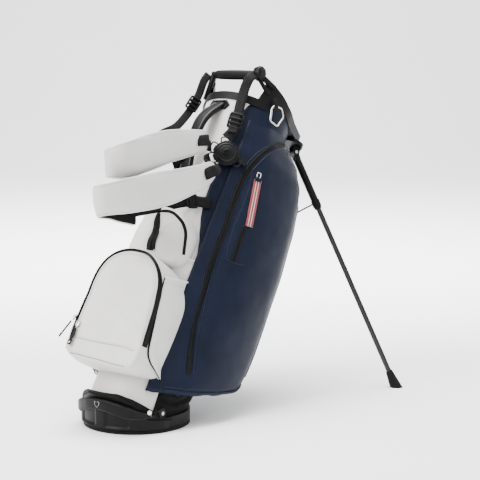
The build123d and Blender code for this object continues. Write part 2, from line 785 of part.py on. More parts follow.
with BuildPart() as shoulder_pad_lower:
    with BuildSketch(pad_plane((206, 0, 572), 8, -34)):
        with BuildLine():
            FilletPolyline((0, 78), (170, 66), (342, 46), (342, 2), (190, -14), radius=[200, 19, 19])
        trace(line_width=PAD_T)
    extrude(amount=68)
save(shoulder_pad_lower.part, "shoulder_pad_lower")

HUB_ANGLE = 216.0
HUB_W = 608.0
HUB_R = 33.0
hub_out = (math.cos(math.radians(HUB_ANGLE)), math.sin(math.radians(HUB_ANGLE)), 0)
with BuildPart() as strap_hub:
    with BuildSketch(bag_plane((hub_out[0] * 122, hub_out[1] * 122, HUB_W), (0, 0, 1), hub_out)):
        Circle(HUB_R)
    extrude(amount=12)
    fillet(strap_hub.edges(), 3)
    with BuildSketch(bag_plane((hub_out[0] * 133.9, hub_out[1] * 133.9, HUB_W), (0, 0, 1), hub_out)):
        Circle(25)
    extrude(amount=4)
save(strap_hub.part, "strap_hub")


def strap_plane(start, end, outward):
    """Plane square to a webbing run; x is across its thickness."""
    return along(bag_point(*start), bag_point(*end), bag_direction(outward))


def run_length(start, end):
    return (bag_point(*end) - bag_point(*start)).length


def part_way(start, end, share):
    """Point a share of the way along a run."""
    return tuple(a + (b - a) * share for a, b in zip(start, end))


with BuildPart() as hub_loops:
    hub_runs = [
        ((-121, -62, 618), (-166, -45, 606), (-0.6, -0.8, 0)),
        ((-126, -90, 592), (-146, -84, 564), (-0.6, -0.8, 0)),
    ]
    for run_start, run_end, outward in hub_runs:
        with BuildSketch(strap_plane(run_start, run_end, outward)):
            Rectangle(3, 26)
        extrude(amount=run_length(run_start, run_end))
    with BuildSketch(across(HUB_W - 12)):
        with BuildLine():
            CenterArc((0, 0), TUBE_R + 2.2, 206, 22)
        trace(line_width=3)
    extrude(amount=24)
    for neighbour in (strap_hub, shoulder_pad_upper, shoulder_pad_lower):
        add(neighbour.part, mode=Mode.SUBTRACT)
save(hub_loops.part, "hub_loops")

NEAR_STRAP = [(-121, -68, 814), (-116, -70, 642)]
FAR_STRAP = [(-116, 80, 812), (-122, 79, 727), (-152, 72, 650), (-196, 60, 606)]
with BuildPart() as collar_straps:
    with BuildSketch(strap_plane(NEAR_STRAP[0], NEAR_STRAP[1], (-0.85, -0.5, 0))):
        Rectangle(2.4, 24)
    extrude(amount=run_length(*NEAR_STRAP))
    for run_start, run_end in zip(FAR_STRAP[:-1], FAR_STRAP[1:]):
        with BuildSketch(strap_plane(run_start, run_end, (-0.85, 0.5, 0))):
            Rectangle(2.4, 20)
        extrude(amount=run_length(run_start, run_end))
    for neighbour in (front_handle, grip_wrap, shoulder_pad_upper):
        add(neighbour.part, mode=Mode.SUBTRACT)
save(collar_straps.part, "collar_straps")

with BuildPart() as lower_strap_room:
    with BuildSketch(front_view(-60)):
        add(arch(78, 300, 451, 60))
    extrude(amount=113)
LOWER_STRAP = [(-196, 14, 398), (-114, -22, 474)]
with BuildPart() as lower_strap:
    with BuildSketch(strap_plane(LOWER_STRAP[0], LOWER_STRAP[1], (0.3, 0.9, 0.2))):
        Rectangle(2.4, 24)
    extrude(amount=run_length(*LOWER_STRAP))
save(lower_strap.part - tube_core.part - shoulder_pad_lower.part - lower_strap_room.part, "lower_strap")

with BuildPart() as strap_buckles:
    buckle_runs = [
        (part_way(*NEAR_STRAP, 0.70), part_way(*NEAR_STRAP, 0.88), (-0.85, -0.5, 0)),
        (part_way(*FAR_STRAP[:2], 0.5), part_way(*FAR_STRAP[:2], 0.8), (-0.85, 0.5, 0)),
    ]
    for run_start, run_end, outward in buckle_runs:
        with BuildSketch(strap_plane(run_start, run_end, outward)):
            Rectangle(7, 32)
            Rectangle(3.0, 25, mode=Mode.SUBTRACT)
        extrude(amount=run_length(run_start, run_end))
save(strap_buckles.part, "strap_buckles")

with BuildPart() as strap_knob:
    with BuildSketch(along(bag_point(BAR_U, -84, BAR_W), bag_point(BAR_U, -62, BAR_W))):
        Circle(17)
        Circle(BAR_R + 0.4, mode=Mode.SUBTRACT)
    extrude(amount=21)
    for neighbour in (front_handle, collar_straps):
        add(neighbour.part, mode=Mode.SUBTRACT)
save(strap_knob.part.solids().sort_by(SortBy.VOLUME)[-1], "strap_knob")

# ---- carabiner on its webbing loop ----
CLIP_OUT = (-0.3, -0.954, 0)
CLIP_AT = (-36, -116, 757)
clip_up = Vector(0, 0, 1)
clip_normal = bag_direction(CLIP_OUT)
clip_up = (clip_up - clip_normal * clip_up.dot(clip_normal)).normalized()
clip_plane = Plane(origin=bag_point(*CLIP_AT), x_dir=clip_up, z_dir=clip_normal)
with BuildPart() as carabiner:
    with BuildSketch(clip_plane):
        with BuildLine():
            Polyline((28, 2), (20, 14), (-12, 24), (-28, 2), (-4, -23), (18, -20), close=True)
        make_face()
        offset(amount=-4, mode=Mode.SUBTRACT)
    extrude(amount=4)
save(carabiner.part, "carabiner")

with BuildPart() as carabiner_strap:
    with BuildSketch(clip_plane.offset(-2.2)):
        with Locations((28.5, 0)):
            Rectangle(25, 12)
    extrude(amount=1.6)
    with BuildSketch(clip_plane.offset(4.6)):
        with Locations((28.5, 0)):
            Rectangle(25, 12)
    extrude(amount=1.6)
    with BuildSketch(clip_plane.offset(-2.2)):
        with Locations((16.6, 0)):
            Rectangle(1.2, 12)
    extrude(amount=8.4)
    with BuildSketch(clip_plane.offset(-2.2)):
        with Locations((40.2, 0)):
            Rectangle(1.6, 12)
    extrude(amount=8.4)
save(carabiner_strap.part - tube_core.part - top_collar.part, "carabiner_strap")

# ---- zip pullers ----


def puller(at, down, facing, length, width, thick):
    """A flat pull tab hanging from its eye; at is in the bag frame."""
    normal = bag_direction(facing).normalized()
    drop = Vector(*down)
    drop = (drop - normal * drop.dot(normal)).normalized()
    plane = Plane(origin=bag_point(*at), x_dir=drop, z_dir=normal)
    with BuildPart() as tab:
        with BuildSketch(plane):
            with Locations((length / 2, 0)):
                RectangleRounded(length, width, width * 0.4)
        extrude(amount=thick)
    return tab.part


PULLERS = {
    "ball_puller_left": ((-202.5, 99.5, 100), (-0.506, 0.39, -0.768), (-0.6, 0.75, 0.3), 46, 9, 3),
    "ball_puller_right": ((-205, 78, 84), (-0.5505, 0, -0.8348), (-1, 0, 0), 42, 9, 3),
    "apparel_puller_near": ((33, -125.5, 696), (0, 0, -1), (0.12, -0.95, 0.29), 46, 9, 3),
    "apparel_puller_far": ((33, 125.5, 696), (0, 0, -1), (0.12, 0.95, 0.29), 46, 9, 3),
    "valuables_pull": ((-37, -127.5, 598), (-0.28, -0.21, -0.93), (-0.6, -0.8, 0), 138, 16, 3),
}
for puller_name, (at, down, facing, length, width, thick) in PULLERS.items():
    save(puller(at, down, facing, length, width, thick), puller_name)
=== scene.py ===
import json
import math
import bpy
import bmesh
from mathutils import Vector, Matrix, noise
from mathutils.bvhtree import BVHTree

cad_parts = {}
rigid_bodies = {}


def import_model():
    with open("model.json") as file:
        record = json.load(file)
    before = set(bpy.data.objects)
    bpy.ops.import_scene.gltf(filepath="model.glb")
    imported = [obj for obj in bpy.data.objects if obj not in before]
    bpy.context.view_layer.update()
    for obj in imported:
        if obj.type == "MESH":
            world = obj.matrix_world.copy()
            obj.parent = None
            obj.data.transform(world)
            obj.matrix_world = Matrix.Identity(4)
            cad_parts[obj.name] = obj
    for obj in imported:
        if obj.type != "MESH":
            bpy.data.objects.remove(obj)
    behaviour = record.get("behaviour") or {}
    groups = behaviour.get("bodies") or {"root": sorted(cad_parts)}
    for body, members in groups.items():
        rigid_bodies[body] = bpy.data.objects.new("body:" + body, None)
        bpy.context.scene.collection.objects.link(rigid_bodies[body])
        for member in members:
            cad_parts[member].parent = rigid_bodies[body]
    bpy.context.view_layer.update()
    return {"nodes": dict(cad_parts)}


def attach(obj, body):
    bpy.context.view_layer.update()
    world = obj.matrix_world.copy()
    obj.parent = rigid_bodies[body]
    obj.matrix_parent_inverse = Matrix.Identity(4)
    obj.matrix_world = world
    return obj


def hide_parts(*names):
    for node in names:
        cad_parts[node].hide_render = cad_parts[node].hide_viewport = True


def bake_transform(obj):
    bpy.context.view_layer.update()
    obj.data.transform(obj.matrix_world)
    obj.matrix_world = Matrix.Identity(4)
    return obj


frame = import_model()

# ---------------------------------------------------------------- the bag's own axes
LEAN = math.radians(33.4)
CU, SU = math.cos(LEAN), math.sin(LEAN)
TUBE = 111.5                     # radius of the padded shell, mm


def P(u, v, w):
    """Row point, in metres, of a point given in millimetres along the leaning bag's axes."""
    return Vector(((5 + CU * u + SU * w) / 1000, v / 1000, (47 - SU * u + CU * w) / 1000))


def D(u, v, w):
    return Vector((CU * u + SU * w, v, -SU * u + CU * w)).normalized()


def facing(phi):
    """Outward direction of the shell phi degrees from the front."""
    return D(-math.cos(math.radians(phi)), -math.sin(math.radians(phi)), 0)


def power(x, p):
    """x to the power p, keeping its sign: rounds the corners of an oval."""
    return math.copysign(abs(x) ** p, x)


def interp(table, t):
    """Smooth value at t from a table of (t, value) pairs."""
    if t <= table[0][0]:
        return table[0][1]
    for (a, x), (b, y) in zip(table, table[1:]):
        if t <= b:
            k = (t - a) / (b - a)
            k = k * k * (3 - 2 * k) * 0.5 + k * 0.5
            return x + (y - x) * k
    return table[-1][1]


def spline(points, n, closed=False):
    """n points along a Catmull-Rom curve through points, evenly spaced."""
    pts = [Vector(p) for p in points]
    m = len(pts)
    dense = []
    for i in range(m if closed else m - 1):
        if closed:
            p0, p1, p2, p3 = (pts[(i + k - 1) % m] for k in range(4))
        else:
            p1, p2 = pts[i], pts[i + 1]
            p0 = pts[i - 1] if i else p1 * 2 - p2
            p3 = pts[i + 2] if i + 2 < m else p2 * 2 - p1
        for k in range(16):
            t = k / 16
            dense.append(0.5 * (2 * p1 + (p2 - p0) * t + (2 * p0 - 5 * p1 + 4 * p2 - p3) * t * t
                                + (3 * p1 - p0 - 3 * p2 + p3) * t ** 3))
    dense.append(pts[0] if closed else pts[-1])
    run = [0.0]
    for a, b in zip(dense, dense[1:]):
        run.append(run[-1] + (b - a).length)
    out, j = [], 0
    for i in range(n):
        s = run[-1] * i / (n if closed else n - 1)
        while j < len(run) - 2 and run[j + 1] < s:
            j += 1
        k = (s - run[j]) / max(run[j + 1] - run[j], 1e-9)
        out.append(dense[j].lerp(dense[j + 1], min(max(k, 0), 1)))
    return out


# ---------------------------------------------------------------- materials
def new_material(name):
    m = bpy.data.materials.new(name)
    m.use_nodes = True
    t = m.node_tree
    t.nodes.clear()
    out = t.nodes.new("ShaderNodeOutputMaterial")
    bsdf = t.nodes.new("ShaderNodeBsdfPrincipled")
    t.links.new(bsdf.outputs[0], out.inputs[0])
    coord = t.nodes.new("ShaderNodeTexCoord")
    return m, t, bsdf, coord


def add(t, kind, **values):
    n = t.nodes.new(kind)
    for key, value in values.items():
        if key in n.inputs:
            n.inputs[key].default_value = value
        else:
            setattr(n, key, value)
    return n


def ramp(t, source, stops):
    r = t.nodes.new("ShaderNodeValToRGB")
    while len(r.color_ramp.elements) < len(stops):
        r.color_ramp.elements.new(0.5)
    for e, (pos, col) in zip(r.color_ramp.elements, stops):
        e.position = pos
        e.color = (*col, 1) if len(col) == 3 else col
    t.links.new(source, r.inputs[0])
    return r


def bump(t, bsdf, heights, distance=0.001):
    """Chains several heights into one bumped normal. heights: [(socket, strength), ...]"""
    last = None
    for socket, strength in heights:
        b = add(t, "ShaderNodeBump", Strength=strength, Distance=distance)
        t.links.new(socket, b.inputs["Height"])
        if last is not None:
            t.links.new(last.outputs[0], b.inputs["Normal"])
        last = b
    t.links.new(last.outputs[0], bsdf.inputs["Normal"])


def leather(name, base, light, grain=900.0, rough=0.45, bump_grain=0.18, coat=0.0, sheen=0.0):
    m, t, bsdf, coord = new_material(name)
    obj = coord.outputs["Object"]
    cells = add(t, "ShaderNodeTexVoronoi", Scale=grain)
    fine = add(t, "ShaderNodeTexNoise", Scale=grain * 1.7, Detail=4.0)
    large = add(t, "ShaderNodeTexNoise", Scale=11.0, Detail=5.0, Roughness=0.6)
    crease = add(t, "ShaderNodeTexNoise", Scale=38.0, Detail=6.0, Roughness=0.55, Distortion=0.6)
    for n in (cells, fine, large, crease):
        t.links.new(obj, n.inputs["Vector"])
    col = ramp(t, large.outputs["Fac"], [(0.3, base), (0.72, light)])
    t.links.new(col.outputs[0], bsdf.inputs["Base Color"])
    r = add(t, "ShaderNodeMapRange")
    r.inputs["To Min"].default_value = rough - 0.06
    r.inputs["To Max"].default_value = rough + 0.10
    t.links.new(crease.outputs["Fac"], r.inputs["Value"])
    t.links.new(r.outputs[0], bsdf.inputs["Roughness"])
    bump(t, bsdf, [(large.outputs["Fac"], 0.10), (crease.outputs["Fac"], 0.16),
                   (cells.outputs["Distance"], bump_grain), (fine.outputs["Fac"], bump_grain * 0.5)], 0.0012)
    bsdf.inputs["Coat Weight"].default_value = coat
    bsdf.inputs["Coat Roughness"].default_value = 0.35
    bsdf.inputs["Sheen Weight"].default_value = sheen
    return m


def woven(name, base, light, scale=1400.0, rough=0.75, strength=0.5, sheen=0.15):
    m, t, bsdf, coord = new_material(name)
    obj = coord.outputs["Object"]
    a = add(t, "ShaderNodeTexWave", Scale=scale / 6.3, Distortion=0.3, Detail=1.0)
    b = add(t, "ShaderNodeTexWave", Scale=scale / 6.3, Distortion=0.3, Detail=1.0)
    a.bands_direction, b.bands_direction = "Z", "DIAGONAL"
    mix = add(t, "ShaderNodeMath", operation="MULTIPLY")
    n = add(t, "ShaderNodeTexNoise", Scale=60.0, Detail=4.0)
    for x in (a, b, n):
        t.links.new(obj, x.inputs["Vector"])
    t.links.new(a.outputs["Fac"], mix.inputs[0])
    t.links.new(b.outputs["Fac"], mix.inputs[1])
    col = ramp(t, n.outputs["Fac"], [(0.3, base), (0.75, light)])
    t.links.new(col.outputs[0], bsdf.inputs["Base Color"])
    bsdf.inputs["Roughness"].default_value = rough
    bsdf.inputs["Sheen Weight"].default_value = sheen
    bump(t, bsdf, [(mix.outputs[0], strength), (n.outputs["Fac"], 0.15)], 0.0008)
    return m


def webbing_material(name, base, light, rough=0.6, ribs=520.0):
    """Ribbed strap: UV x runs along the strap in metres, y across it from 0 to 1."""
    m, t, bsdf, coord = new_material(name)
    uv = coord.outputs["UV"]
    sep = add(t, "ShaderNodeSeparateXYZ")
    t.links.new(uv, sep.inputs[0])
    along = add(t, "ShaderNodeMath", operation="MULTIPLY")
    along.inputs[1].default_value = ribs * 6.2832
    t.links.new(sep.outputs[0], along.inputs[0])
    wave = add(t, "ShaderNodeMath", operation="SINE")
    t.links.new(along.outputs[0], wave.inputs[0])
    cross = add(t, "ShaderNodeMath", operation="MULTIPLY")
    cross.inputs[1].default_value = 6.2832 * 12
    t.links.new(sep.outputs[1], cross.inputs[0])
    wave2 = add(t, "ShaderNodeMath", operation="SINE")
    t.links.new(cross.outputs[0], wave2.inputs[0])
    both = add(t, "ShaderNodeMath", operation="MULTIPLY")
    t.links.new(wave.outputs[0], both.inputs[0])
    t.links.new(wave2.outputs[0], both.inputs[1])
    n = add(t, "ShaderNodeTexNoise", Scale=70.0, Detail=3.0)
    t.links.new(coord.outputs["Object"], n.inputs["Vector"])
    col = ramp(t, n.outputs["Fac"], [(0.3, base), (0.75, light)])
    t.links.new(col.outputs[0], bsdf.inputs["Base Color"])
    bsdf.inputs["Roughness"].default_value = rough
    bsdf.inputs["Sheen Weight"].default_value = 0.2
    bump(t, bsdf, [(both.outputs[0], 0.35), (n.outputs["Fac"], 0.1)], 0.0006)
    return m


def ribbon_material(name):
    """Red ribbon with two pale stripes along it, ribbed weave."""
    m, t, bsdf, coord = new_material(name)
    sep = add(t, "ShaderNodeSeparateXYZ")
    t.links.new(coord.outputs["UV"], sep.inputs[0])
    red, pale = (0.17, 0.0, 0.004), (0.42, 0.39, 0.39)
    stops = [(0.0, red), (0.28, red), (0.30, pale), (0.37, pale), (0.39, red), (0.61, red), (0.63, pale),
             (0.70, pale), (0.72, red), (1.0, red)]
    col = ramp(t, sep.outputs[1], stops)
    t.links.new(col.outputs[0], bsdf.inputs["Base Color"])
    k = add(t, "ShaderNodeMath", operation="MULTIPLY")
    k.inputs[1].default_value = 700 * 6.2832
    t.links.new(sep.outputs[0], k.inputs[0])
    s = add(t, "ShaderNodeMath", operation="SINE")
    t.links.new(k.outputs[0], s.inputs[0])
    bump(t, bsdf, [(s.outputs[0], 0.3)], 0.0005)
    bsdf.inputs["Roughness"].default_value = 0.6
    bsdf.inputs["Sheen Weight"].default_value = 0.3
    return m


def plastic(name, base, light, rough=0.42, grain=1500.0, strength=0.12, coat=0.0):
    m, t, bsdf, coord = new_material(name)
    n = add(t, "ShaderNodeTexNoise", Scale=grain, Detail=3.0)
    big = add(t, "ShaderNodeTexNoise", Scale=24.0, Detail=5.0)
    for x in (n, big):
        t.links.new(coord.outputs["Object"], x.inputs["Vector"])
    col = ramp(t, big.outputs["Fac"], [(0.3, base), (0.75, light)])
    t.links.new(col.outputs[0], bsdf.inputs["Base Color"])
    r = add(t, "ShaderNodeMapRange")
    r.inputs["To Min"].default_value = rough - 0.05
    r.inputs["To Max"].default_value = rough + 0.10
    t.links.new(big.outputs["Fac"], r.inputs["Value"])
    t.links.new(r.outputs[0], bsdf.inputs["Roughness"])
    bump(t, bsdf, [(n.outputs["Fac"], strength), (big.outputs["Fac"], 0.04)], 0.0006)
    bsdf.inputs["Coat Weight"].default_value = coat
    return m


def metal(name, base, light, rough=0.3, metallic=1.0, scratch=300.0):
    m, t, bsdf, coord = new_material(name)
    stretch = add(t, "ShaderNodeMapping")
    stretch.inputs["Scale"].default_value = (1, 1, 14)
    t.links.new(coord.outputs["Object"], stretch.inputs[0])
    n = add(t, "ShaderNodeTexNoise", Scale=scratch, Detail=4.0)
    t.links.new(stretch.outputs[0], n.inputs["Vector"])
    big = add(t, "ShaderNodeTexNoise", Scale=30.0, Detail=3.0)
    t.links.new(coord.outputs["Object"], big.inputs["Vector"])
    col = ramp(t, big.outputs["Fac"], [(0.3, base), (0.75, light)])
    t.links.new(col.outputs[0], bsdf.inputs["Base Color"])
    r = add(t, "ShaderNodeMapRange")
    r.inputs["To Min"].default_value = rough - 0.06
    r.inputs["To Max"].default_value = rough + 0.12
    t.links.new(n.outputs["Fac"], r.inputs["Value"])
    t.links.new(r.outputs[0], bsdf.inputs["Roughness"])
    bump(t, bsdf, [(n.outputs["Fac"], 0.05)], 0.0004)
    bsdf.inputs["Metallic"].default_value = metallic
    return m


WHITE = leather("white_leather", (0.535, 0.52, 0.507), (0.595, 0.58, 0.566), rough=0.46, bump_grain=0.10)
PIPE_WHITE = leather("white_piping", (0.58, 0.562, 0.548), (0.64, 0.622, 0.606), rough=0.4, bump_grain=0.05)
NAVY = leather("navy_leather", (0.0022, 0.0042, 0.0125), (0.0040, 0.0072, 0.0195), rough=0.40,
               bump_grain=0.14, sheen=0.1)
PIPE_NAVY = leather("navy_piping", (0.0035, 0.0062, 0.0165), (0.0060, 0.0098, 0.0240), rough=0.36,
                    bump_grain=0.05)
BLACK = leather("black_leather", (0.0016, 0.0016, 0.0018), (0.0034, 0.0034, 0.0037), grain=650.0, rough=0.42,
                bump_grain=0.2)
GREY_PIPE = leather("grey_piping", (0.03, 0.03, 0.032), (0.05, 0.05, 0.053), rough=0.4, bump_grain=0.05)
MESH = woven("black_mesh", (0.0014, 0.0014, 0.0016), (0.003, 0.003, 0.0033), 900.0, 0.8, 0.6)
LINING = woven("lining", (0.012, 0.012, 0.014), (0.022, 0.022, 0.025), 1500.0, 0.75, 0.4)
GUSSET = woven("gusset", (0.0018, 0.0018, 0.002), (0.004, 0.004, 0.0044), 1200.0, 0.7, 0.5)
WEB = webbing_material("webbing", (0.0016, 0.0016, 0.0018), (0.0038, 0.0038, 0.0041))
ZIP = webbing_material("zip_tape", (0.0014, 0.0014, 0.0016), (0.003, 0.003, 0.0033), 0.5, 400.0)
TEETH = plastic("zip_teeth", (0.003, 0.003, 0.0033), (0.007, 0.007, 0.0075), 0.3)
RIBBON = ribbon_material("ribbon")
BLACK_PLASTIC = plastic("black_plastic", (0.0016, 0.0016, 0.0018), (0.0036, 0.0036, 0.0039), 0.40)
GLOSS = plastic("black_gloss", (0.0014, 0.0014, 0.0016), (0.003, 0.003, 0.0033), 0.25, strength=0.05,
                coat=0.3)
RUBBER = plastic("rubber", (0.003, 0.003, 0.003), (0.006, 0.006, 0.0063), 0.6, 900.0, 0.25)
SILVER = metal("silver", (0.62, 0.57, 0.50), (0.74, 0.69, 0.62), 0.26)
BLACK_METAL = metal("black_metal", (0.004, 0.004, 0.0043), (0.009, 0.009, 0.0097), 0.32, 0.3)
STEEL = metal("steel", (0.42, 0.42, 0.43), (0.55, 0.55, 0.56), 0.3)
THREAD_W = plastic("thread_white", (0.20, 0.19, 0.18), (0.26, 0.25, 0.24), 0.6)
THREAD_N = plastic("thread_navy", (0.009, 0.014, 0.03), (0.014, 0.02, 0.038), 0.6)
THREAD_K = plastic("thread_black", (0.012, 0.012, 0.0125), (0.018, 0.018, 0.019), 0.6)

for dark in (NAVY, PIPE_NAVY, BLACK, MESH, LINING, GUSSET, WEB, ZIP, TEETH, BLACK_PLASTIC, GLOSS, RUBBER):
    shader = dark.node_tree.nodes["Principled BSDF"]
    shader.inputs["Specular IOR Level"].default_value = 0.12
    shader.inputs["Sheen Weight"].default_value = 0.0
    shader.inputs["Coat Weight"].default_value = 0.0


# ---------------------------------------------------------------- mesh helpers
def place(obj, body="bag", replaces=()):
    if body:
        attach(obj, body)
    if replaces:
        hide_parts(*replaces)
    return obj


def make(name, verts, faces, material, body="bag", replaces=(), smooth=True, uvs=None, extra=(), which=None):
    me = bpy.data.meshes.new(name)
    me.from_pydata([tuple(v) for v in verts], [], faces)
    me.materials.append(material)
    for m in extra:
        me.materials.append(m)
    if which:
        for poly, index in zip(me.polygons, which):
            poly.material_index = index
    if smooth:
        for poly in me.polygons:
            poly.use_smooth = True
    if uvs:
        layer = me.uv_layers.new(name="UVMap")
        for loop in me.loops:
            layer.data[loop.index].uv = uvs[loop.vertex_index]
    bm = bmesh.new()
    bm.from_mesh(me)
    bmesh.ops.recalc_face_normals(bm, faces=bm.faces)
    bm.to_mesh(me)
    bm.free()
    me.update()
    obj = bpy.data.objects.new(name, me)
    bpy.context.scene.collection.objects.link(obj)
    return place(obj, body, replaces)


def rings_mesh(rings, cap_start=True, cap_end=True, closed=True):
    """Vertices and faces of a loft through rings of equal length."""
    n = len(rings[0])
    verts = [v for ring in rings for v in ring]
    faces = []
    for i in range(len(rings) - 1):
        for j in range(n if closed else n - 1):
            k = (j + 1) % n
            faces.append((i * n + j, i * n + k, (i + 1) * n + k, (i + 1) * n + j))
    for wanted, start in ((cap_start, 0), (cap_end, (len(rings) - 1) * n)):
        if wanted and closed:
            verts.append(sum((Vector(v) for v in verts[start:start + n]), Vector()) / n)
            c = len(verts) - 1
            for j in range(n):
                faces.append((start + j, start + (j + 1) % n, c))
    return verts, faces


def frames(path, hint):
    """(point, tangent, side, up) along a path; side stays close to hint."""
    out = []
    for i, p in enumerate(path):
        a = path[max(i - 1, 0)]
        b = path[min(i + 1, len(path) - 1)]
        t = (b - a).normalized()
        h = hint[i] if isinstance(hint, list) else hint
        up = (h - t * h.dot(t)).normalized()
        out.append((p, t, t.cross(up).normalized(), up))
    return out


def strap(name, points, normal, width, thick, material=None, body="bag", n=60, replaces=(), closed=False,
          edge=0.0008, widths=None):
    """A flat strap through points (row metres); normal is the way its flat face looks."""
    path = spline(points, n, closed)
    normals = spline(normal, n, closed) if isinstance(normal, list) else normal
    rings, uvs, run = [], [], 0.0
    fr = frames(path, normals)
    for i, (p, t, side, up) in enumerate(fr):
        if i:
            run += (p - fr[i - 1][0]).length
        wd = (widths(i / (n - 1)) if widths else width) / 2
        th = thick / 2
        profile = [(-wd, 0, 0.0), (-wd + edge, th, 0.03), (-wd * 0.4, th * 0.86, 0.3),
                   (wd * 0.4, th * 0.86, 0.7), (wd - edge, th, 0.97), (wd, 0, 1.0), (wd - edge, -th, 0.97),
                   (wd * 0.4, -th * 0.86, 0.7), (-wd * 0.4, -th * 0.86, 0.3), (-wd + edge, -th, 0.03)]
        rings.append([p + side * x + up * y for x, y, _ in profile])
        uvs += [(run, c) for _, _, c in profile]
    if closed:
        rings.append(rings[0])
        uvs += [(run, c) for _, _, c in profile]
    verts, faces = rings_mesh(rings, not closed, not closed)
    uvs += [(0, 0.5), (run, 0.5)]
    return make(name, verts, faces, material or WEB, body, replaces, uvs=uvs)


def rope(name, points, radius, material, body="bag", n=None, closed=False, smooth_path=True, replaces=(),
         sides=8):
    """A round bead along points: piping, stitching cord, wire."""
    if smooth_path:
        n = n or max(12, len(points) * 6)
        path = spline(points, n, closed)
    else:
        path = [Vector(p) for p in points]
    rings = []
    if closed:
        path = path + [path[0]]
    last = None
    for i, p in enumerate(path):
        a = path[i - 1] if i else (path[-2] if closed else p)
        b = path[i + 1] if i + 1 < len(path) else (path[1] if closed else p)
        t = (b - a).normalized()
        if last is None:
            last = t.orthogonal().normalized()
        x = (last - t * last.dot(t)).normalized()
        last = x
        y = t.cross(x)
        r = radius(i / (len(path) - 1)) if callable(radius) else radius
        rings.append([p + (x * math.cos(q) + y * math.sin(q)) * r
                      for q in (2 * math.pi * k / sides for k in range(sides))])
    verts, faces = rings_mesh(rings, not closed, not closed)
    return make(name, verts, faces, material, body, replaces)


def stitches(name, path, normals, material, body="bag", pitch=0.0042, long=0.0027, r=0.00042):
    """A row of raised thread stitches along a dense path."""
    verts, faces = [], []
    run, want = 0.0, 0.0
    for i in range(len(path) - 1):
        a, b = path[i], path[i + 1]
        seg = (b - a).length
        t = (b - a).normalized() if seg > 1e-7 else Vector((0, 0, 1))
        nrm = normals[i] if isinstance(normals, list) else normals
        side = t.cross(nrm).normalized()
        while want <= run + seg:
            c = a + t * (want - run)
            base = len(verts)
            for along, k in ((-long / 2, 0.35), (-long / 4, 1.0), (long / 4, 1.0), (long / 2, 0.35)):
                for q in range(5):
                    ang = math.pi * q / 4
                    verts.append(c + t * along + (side * math.cos(ang) + nrm * math.sin(ang)) * r * k)
            for ring in range(3):
                for q in range(4):
                    o = base + ring * 5 + q
                    faces.append((o, o + 1, o + 6, o + 5))
            want += pitch
        run += seg
    if verts:
        return make(name, verts, faces, material, body)


def lathe(name, profile, centre, axis, x_hint, material, body="bag", n=40, replaces=(), smooth=True):
    """profile: (radius, height) pairs in metres about axis."""
    z = axis.normalized()
    x = (x_hint - z * x_hint.dot(z)).normalized()
    y = z.cross(x)
    rings = [[centre + z * h + (x * math.cos(a) + y * math.sin(a)) * max(r, 1e-5) for a in
              (2 * math.pi * k / n for k in range(n))] for r, h in profile]
    verts, faces = rings_mesh(rings)
    return make(name, verts, faces, material, body, replaces, smooth)


def slab(name, outline, thick, normal, material, body="bag", replaces=(), bevel=0.0008, segments=2):
    """A bevelled plate: outline is a closed ring of points, thickness along normal."""
    n = len(outline)
    verts = [Vector(p) for p in outline] + [Vector(p) + normal.normalized() * thick for p in outline]
    faces = [tuple(range(n)), tuple(range(2 * n - 1, n - 1, -1))]
    faces += [(j, (j + 1) % n, n + (j + 1) % n, n + j) for j in range(n)]
    obj = make(name, verts, faces, material, body, replaces, smooth=False)
    b = obj.modifiers.new("bevel", "BEVEL")
    b.width, b.segments, b.limit_method, b.angle_limit = bevel, segments, "ANGLE", math.radians(35)
    for poly in obj.data.polygons:
        poly.use_smooth = True
    return obj


def set_material(nodes, material):
    for name in nodes:
        obj = frame["nodes"][name]
        for slot in obj.material_slots:
            slot.material = material


def puff(obj, pressure=4.0, cap=0.008, voxel=0.005, frames_n=20):
    """Pads an object out with cloth pressure, then smooths it."""
    scene = bpy.context.scene
    bpy.context.view_layer.objects.active = obj
    for o in scene.objects:
        o.select_set(o == obj)
    r = obj.modifiers.new("remesh", "REMESH")
    r.mode, r.voxel_size = "VOXEL", voxel
    bpy.ops.object.modifier_apply(modifier="remesh")
    before = [v.co.copy() for v in obj.data.vertices]
    c = obj.modifiers.new("cloth", "CLOTH")
    c.settings.use_pressure = True
    c.settings.uniform_pressure_force = pressure
    c.settings.quality = 4
    c.settings.effector_weights.gravity = 0
    c.collision_settings.use_collision = False
    c.point_cache.frame_start, c.point_cache.frame_end = 1, frames_n
    for f in range(1, frames_n + 1):
        scene.frame_set(f)
    deps = bpy.context.evaluated_depsgraph_get()
    after = [v.co.copy() for v in obj.evaluated_get(deps).data.vertices]
    obj.modifiers.remove(c)
    scene.frame_set(1)
    for v, a, b in zip(obj.data.vertices, before, after):
        d = b - a
        v.co = a + (d if d.length <= cap else d * (cap / d.length))
    s = obj.modifiers.new("smooth", "SMOOTH")
    s.factor, s.iterations = 0.5, 4
    bpy.ops.object.modifier_apply(modifier="smooth")
    for poly in obj.data.polygons:
        poly.use_smooth = True
    return obj


